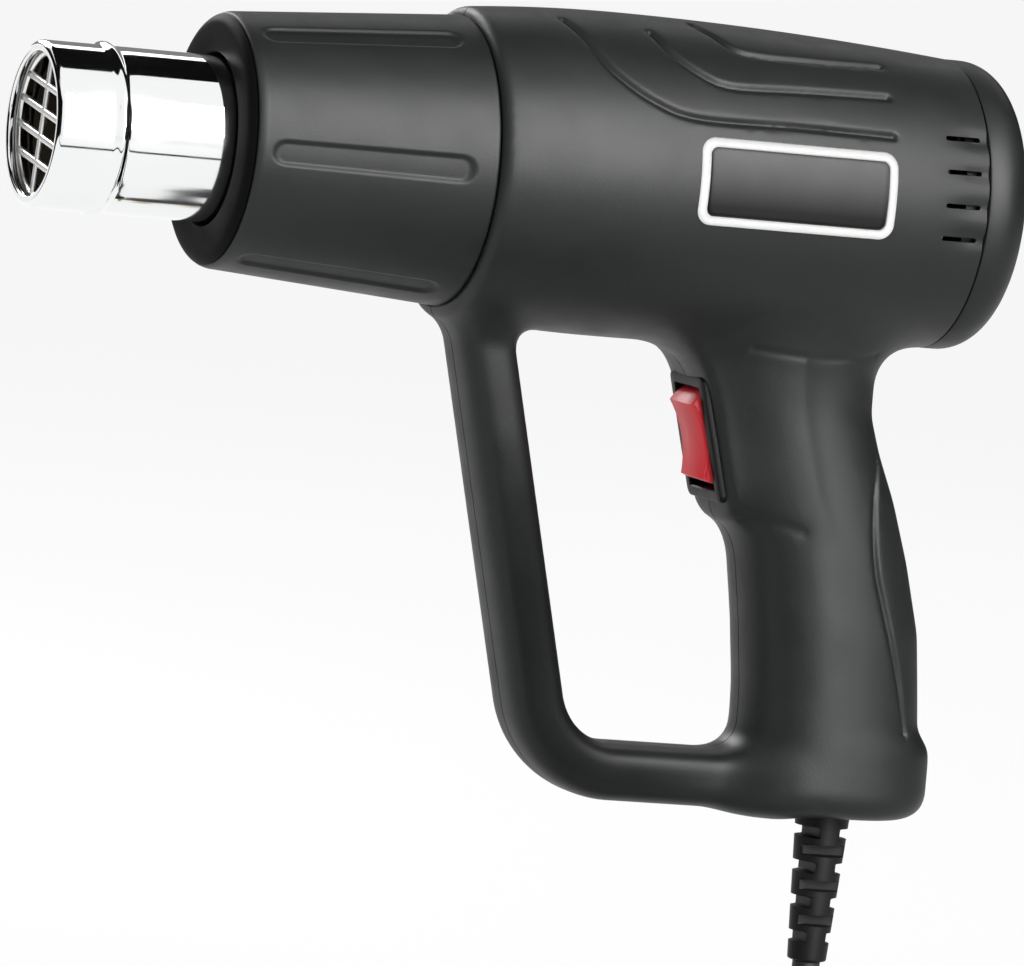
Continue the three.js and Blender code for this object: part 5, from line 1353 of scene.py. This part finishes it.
def add_camera(scene):
    """The view's right and up axes are turned about the line of sight by the photograph's tilt."""
    back = way_to(VIEW_TURN, VIEW_RISE)
    level = way_to(VIEW_TURN + 90, 0)
    up = back.cross(level)
    roll = math.radians(VIEW_ROLL)
    right = level * math.cos(roll) + up * math.sin(roll)
    above = up * math.cos(roll) - level * math.sin(roll)
    lens = bpy.data.cameras.new("camera")
    lens.lens = VIEW_LENS
    lens.clip_end = 100
    camera = placed("camera", lens)
    axes = Matrix((right, above, back)).transposed()
    camera.matrix_world = Matrix.Translation(VIEW_TARGET + back * VIEW_DISTANCE) @ axes.to_4x4()
    scene.camera = camera


def level_card(rises, away):
    """A strip of a cylinder about the barrel's axis, at a distance along each rise above the front."""
    x, e = np.meshgrid(np.linspace(-1.4, 1.4, 3), np.radians(np.linspace(*rises, 13)))
    return row(x, -away * np.cos(e), away * np.sin(e) - GRIP_CENTRE[2] * MM)


def upright_card(turns, away):
    """A strip of a cylinder about the upright through the grip, from the floor to over the tool."""
    a, z = np.meshgrid(np.radians(np.linspace(*turns, 25)), np.linspace(FLOOR_LEVEL + 0.01, 0.9, 3))
    return row(away * np.sin(a), -away * np.cos(a), z)


def add_card(name, grid, glow):
    """A card that only mirrors see: it gives bright metal its black bands and plastic its dark edges.

    It is matt black with a little cloudiness, and an even glow makes it grey where wanted.
    It casts no shadow, unless it is a flag.
    """
    rows, cols = grid.shape[:2]
    start = (np.arange(rows - 1)[:, None] * cols + np.arange(cols - 1)).reshape(-1, 1)
    mesh = plain_mesh(name, grid.reshape(-1, 3), (start + (0, 1, cols + 1, cols)).tolist())
    material, tree, shader, place = nodes_of(name)
    wire(tree, shader, {
        "Base Color": spread(tree, noise(tree, place, 30), 0.003, 0.006),
        "Specular IOR Level": 0,
        "Emission Color": (1, 1, 1, 1),
        "Emission Strength": glow,
    })
    mesh.materials.append(material)
    card = placed(name, mesh)
    card.visible_camera = False
    card.visible_diffuse = False
    card.visible_shadow = False
    card.visible_transmission = False
    return card


def seen_rays(tree):
    """1 for rays from the camera, and for those in mirrors and glass."""
    path = tree.nodes.new("ShaderNodeLightPath")
    total = path.outputs["Is Camera Ray"]
    for name in ("Is Glossy Ray", "Is Transmission Ray"):
        total = calculated(tree, "MAXIMUM", total, path.outputs[name])
    return total


def calculated(tree, operation, first, second):
    made = tree.nodes.new("ShaderNodeMath")
    made.operation = operation
    wire(tree, made, {0: first, 1: second})
    return made.outputs[0]


def add_floor():
    across = (-FLOOR_FAR, FLOOR_FAR, FLOOR_FAR, -FLOOR_FAR)
    corners = row(across, (-FLOOR_NEAR, -FLOOR_NEAR, FLOOR_FAR, FLOOR_FAR), FLOOR_LEVEL)
    mesh = plain_mesh("floor", corners, [(0, 1, 2, 3)])
    material, tree, shader, _ = nodes_of("floor white")
    wire(tree, shader, {"Base Color": (0.86, 0.86, 0.86, 1), "Roughness": 0.8})
    glow = add_node(tree, "Emission", "Emission", {})
    share = calculated(tree, "MULTIPLY", seen_rays(tree), FLOOR_GLOW)
    mixed = add_node(tree, "MixShader", "Shader", {"Fac": share, 1: shader.outputs["BSDF"], 2: glow})
    wire(tree, tree.nodes["Material Output"], {"Surface": mixed})
    mesh.materials.append(material)
    floor = placed("floor", mesh)


def add_world(scene):
    """White where it is seen, also in mirrors, and dimmer as a light."""
    world = bpy.data.worlds.new("studio")
    world.use_nodes = True
    scene.world = world
    tree = world.node_tree
    strength = add_node(tree, "MapRange", "Result", {
        "Value": seen_rays(tree), "To Min": WORLD_LIGHT, "To Max": 1.0})
    wire(tree, tree.nodes["Background"], {"Color": (1, 1, 1, 1), "Strength": strength})


def add_lamp(name, aim, place, away, size, bright, angle, left_out):
    """A rectangle that shines evenly; its power is its brightness times its area times pi.

    A narrower spread keeps the brightness straight ahead, so the power comes down with it.
    """
    lamp = bpy.data.lights.new(name, "AREA")
    lamp.shape = "RECTANGLE"
    lamp.size, lamp.size_y = size
    lamp.spread = angle
    lamp.energy = bright * math.pi * size[0] * size[1]
    if angle < WIDE:
        lamp.energy *= 1 - angle / 2 / math.tan(angle / 2)
    made = placed(name, lamp)
    made.visible_camera = False
    made.visible_diffuse = left_out != "diffuse"
    made.visible_glossy = left_out != "glossy"
    back = way_to(*place)
    turn = back.to_track_quat("Z", "Y").to_matrix().to_4x4()
    made.matrix_world = Matrix.Translation(aim + back * away) @ turn


class HOTAIR_PT_panel(bpy.types.Panel):
    """Lists the sizes, the colours and the steps."""

    bl_idname = "HOTAIR_PT_panel"
    bl_label = "Hot air tool"
    bl_space_type = "VIEW_3D"
    bl_region_type = "UI"
    bl_category = "Tool looks"

    def draw(self, context):
        for group in (context.scene.hot_air_sizes, context.scene.hot_air_colours):
            for name in group.bl_rna.properties.keys():
                if name not in ("rna_type", "name"):
                    self.layout.prop(group, name)
        for step in STEPS:
            self.layout.operator(step.bl_idname)


STEPS = (
    HOTAIR_OT_stage,
    HOTAIR_OT_cord,
    HOTAIR_OT_housing,
    HOTAIR_OT_screws,
    HOTAIR_OT_outlet,
    HOTAIR_OT_sleeve,
    HOTAIR_OT_cap,
    HOTAIR_OT_badge,
    HOTAIR_OT_switch,
    HOTAIR_OT_relief,
    HOTAIR_OT_solids,
)
CLASSES = (ToolSizes, ToolColours, *STEPS, HOTAIR_PT_panel)


def register():
    for made in CLASSES:
        bpy.utils.register_class(made)
    bpy.types.Scene.hot_air_sizes = bpy.props.PointerProperty(type=ToolSizes)
    bpy.types.Scene.hot_air_colours = bpy.props.PointerProperty(type=ToolColours)


def unregister():
    del bpy.types.Scene.hot_air_colours
    del bpy.types.Scene.hot_air_sizes
    for made in reversed(CLASSES):
        bpy.utils.unregister_class(made)


def main():
    register()
    for step in STEPS:
        group, name = step.bl_idname.split(".")
        getattr(getattr(bpy.ops, group), name)()


if __name__ == "__main__":
    main()
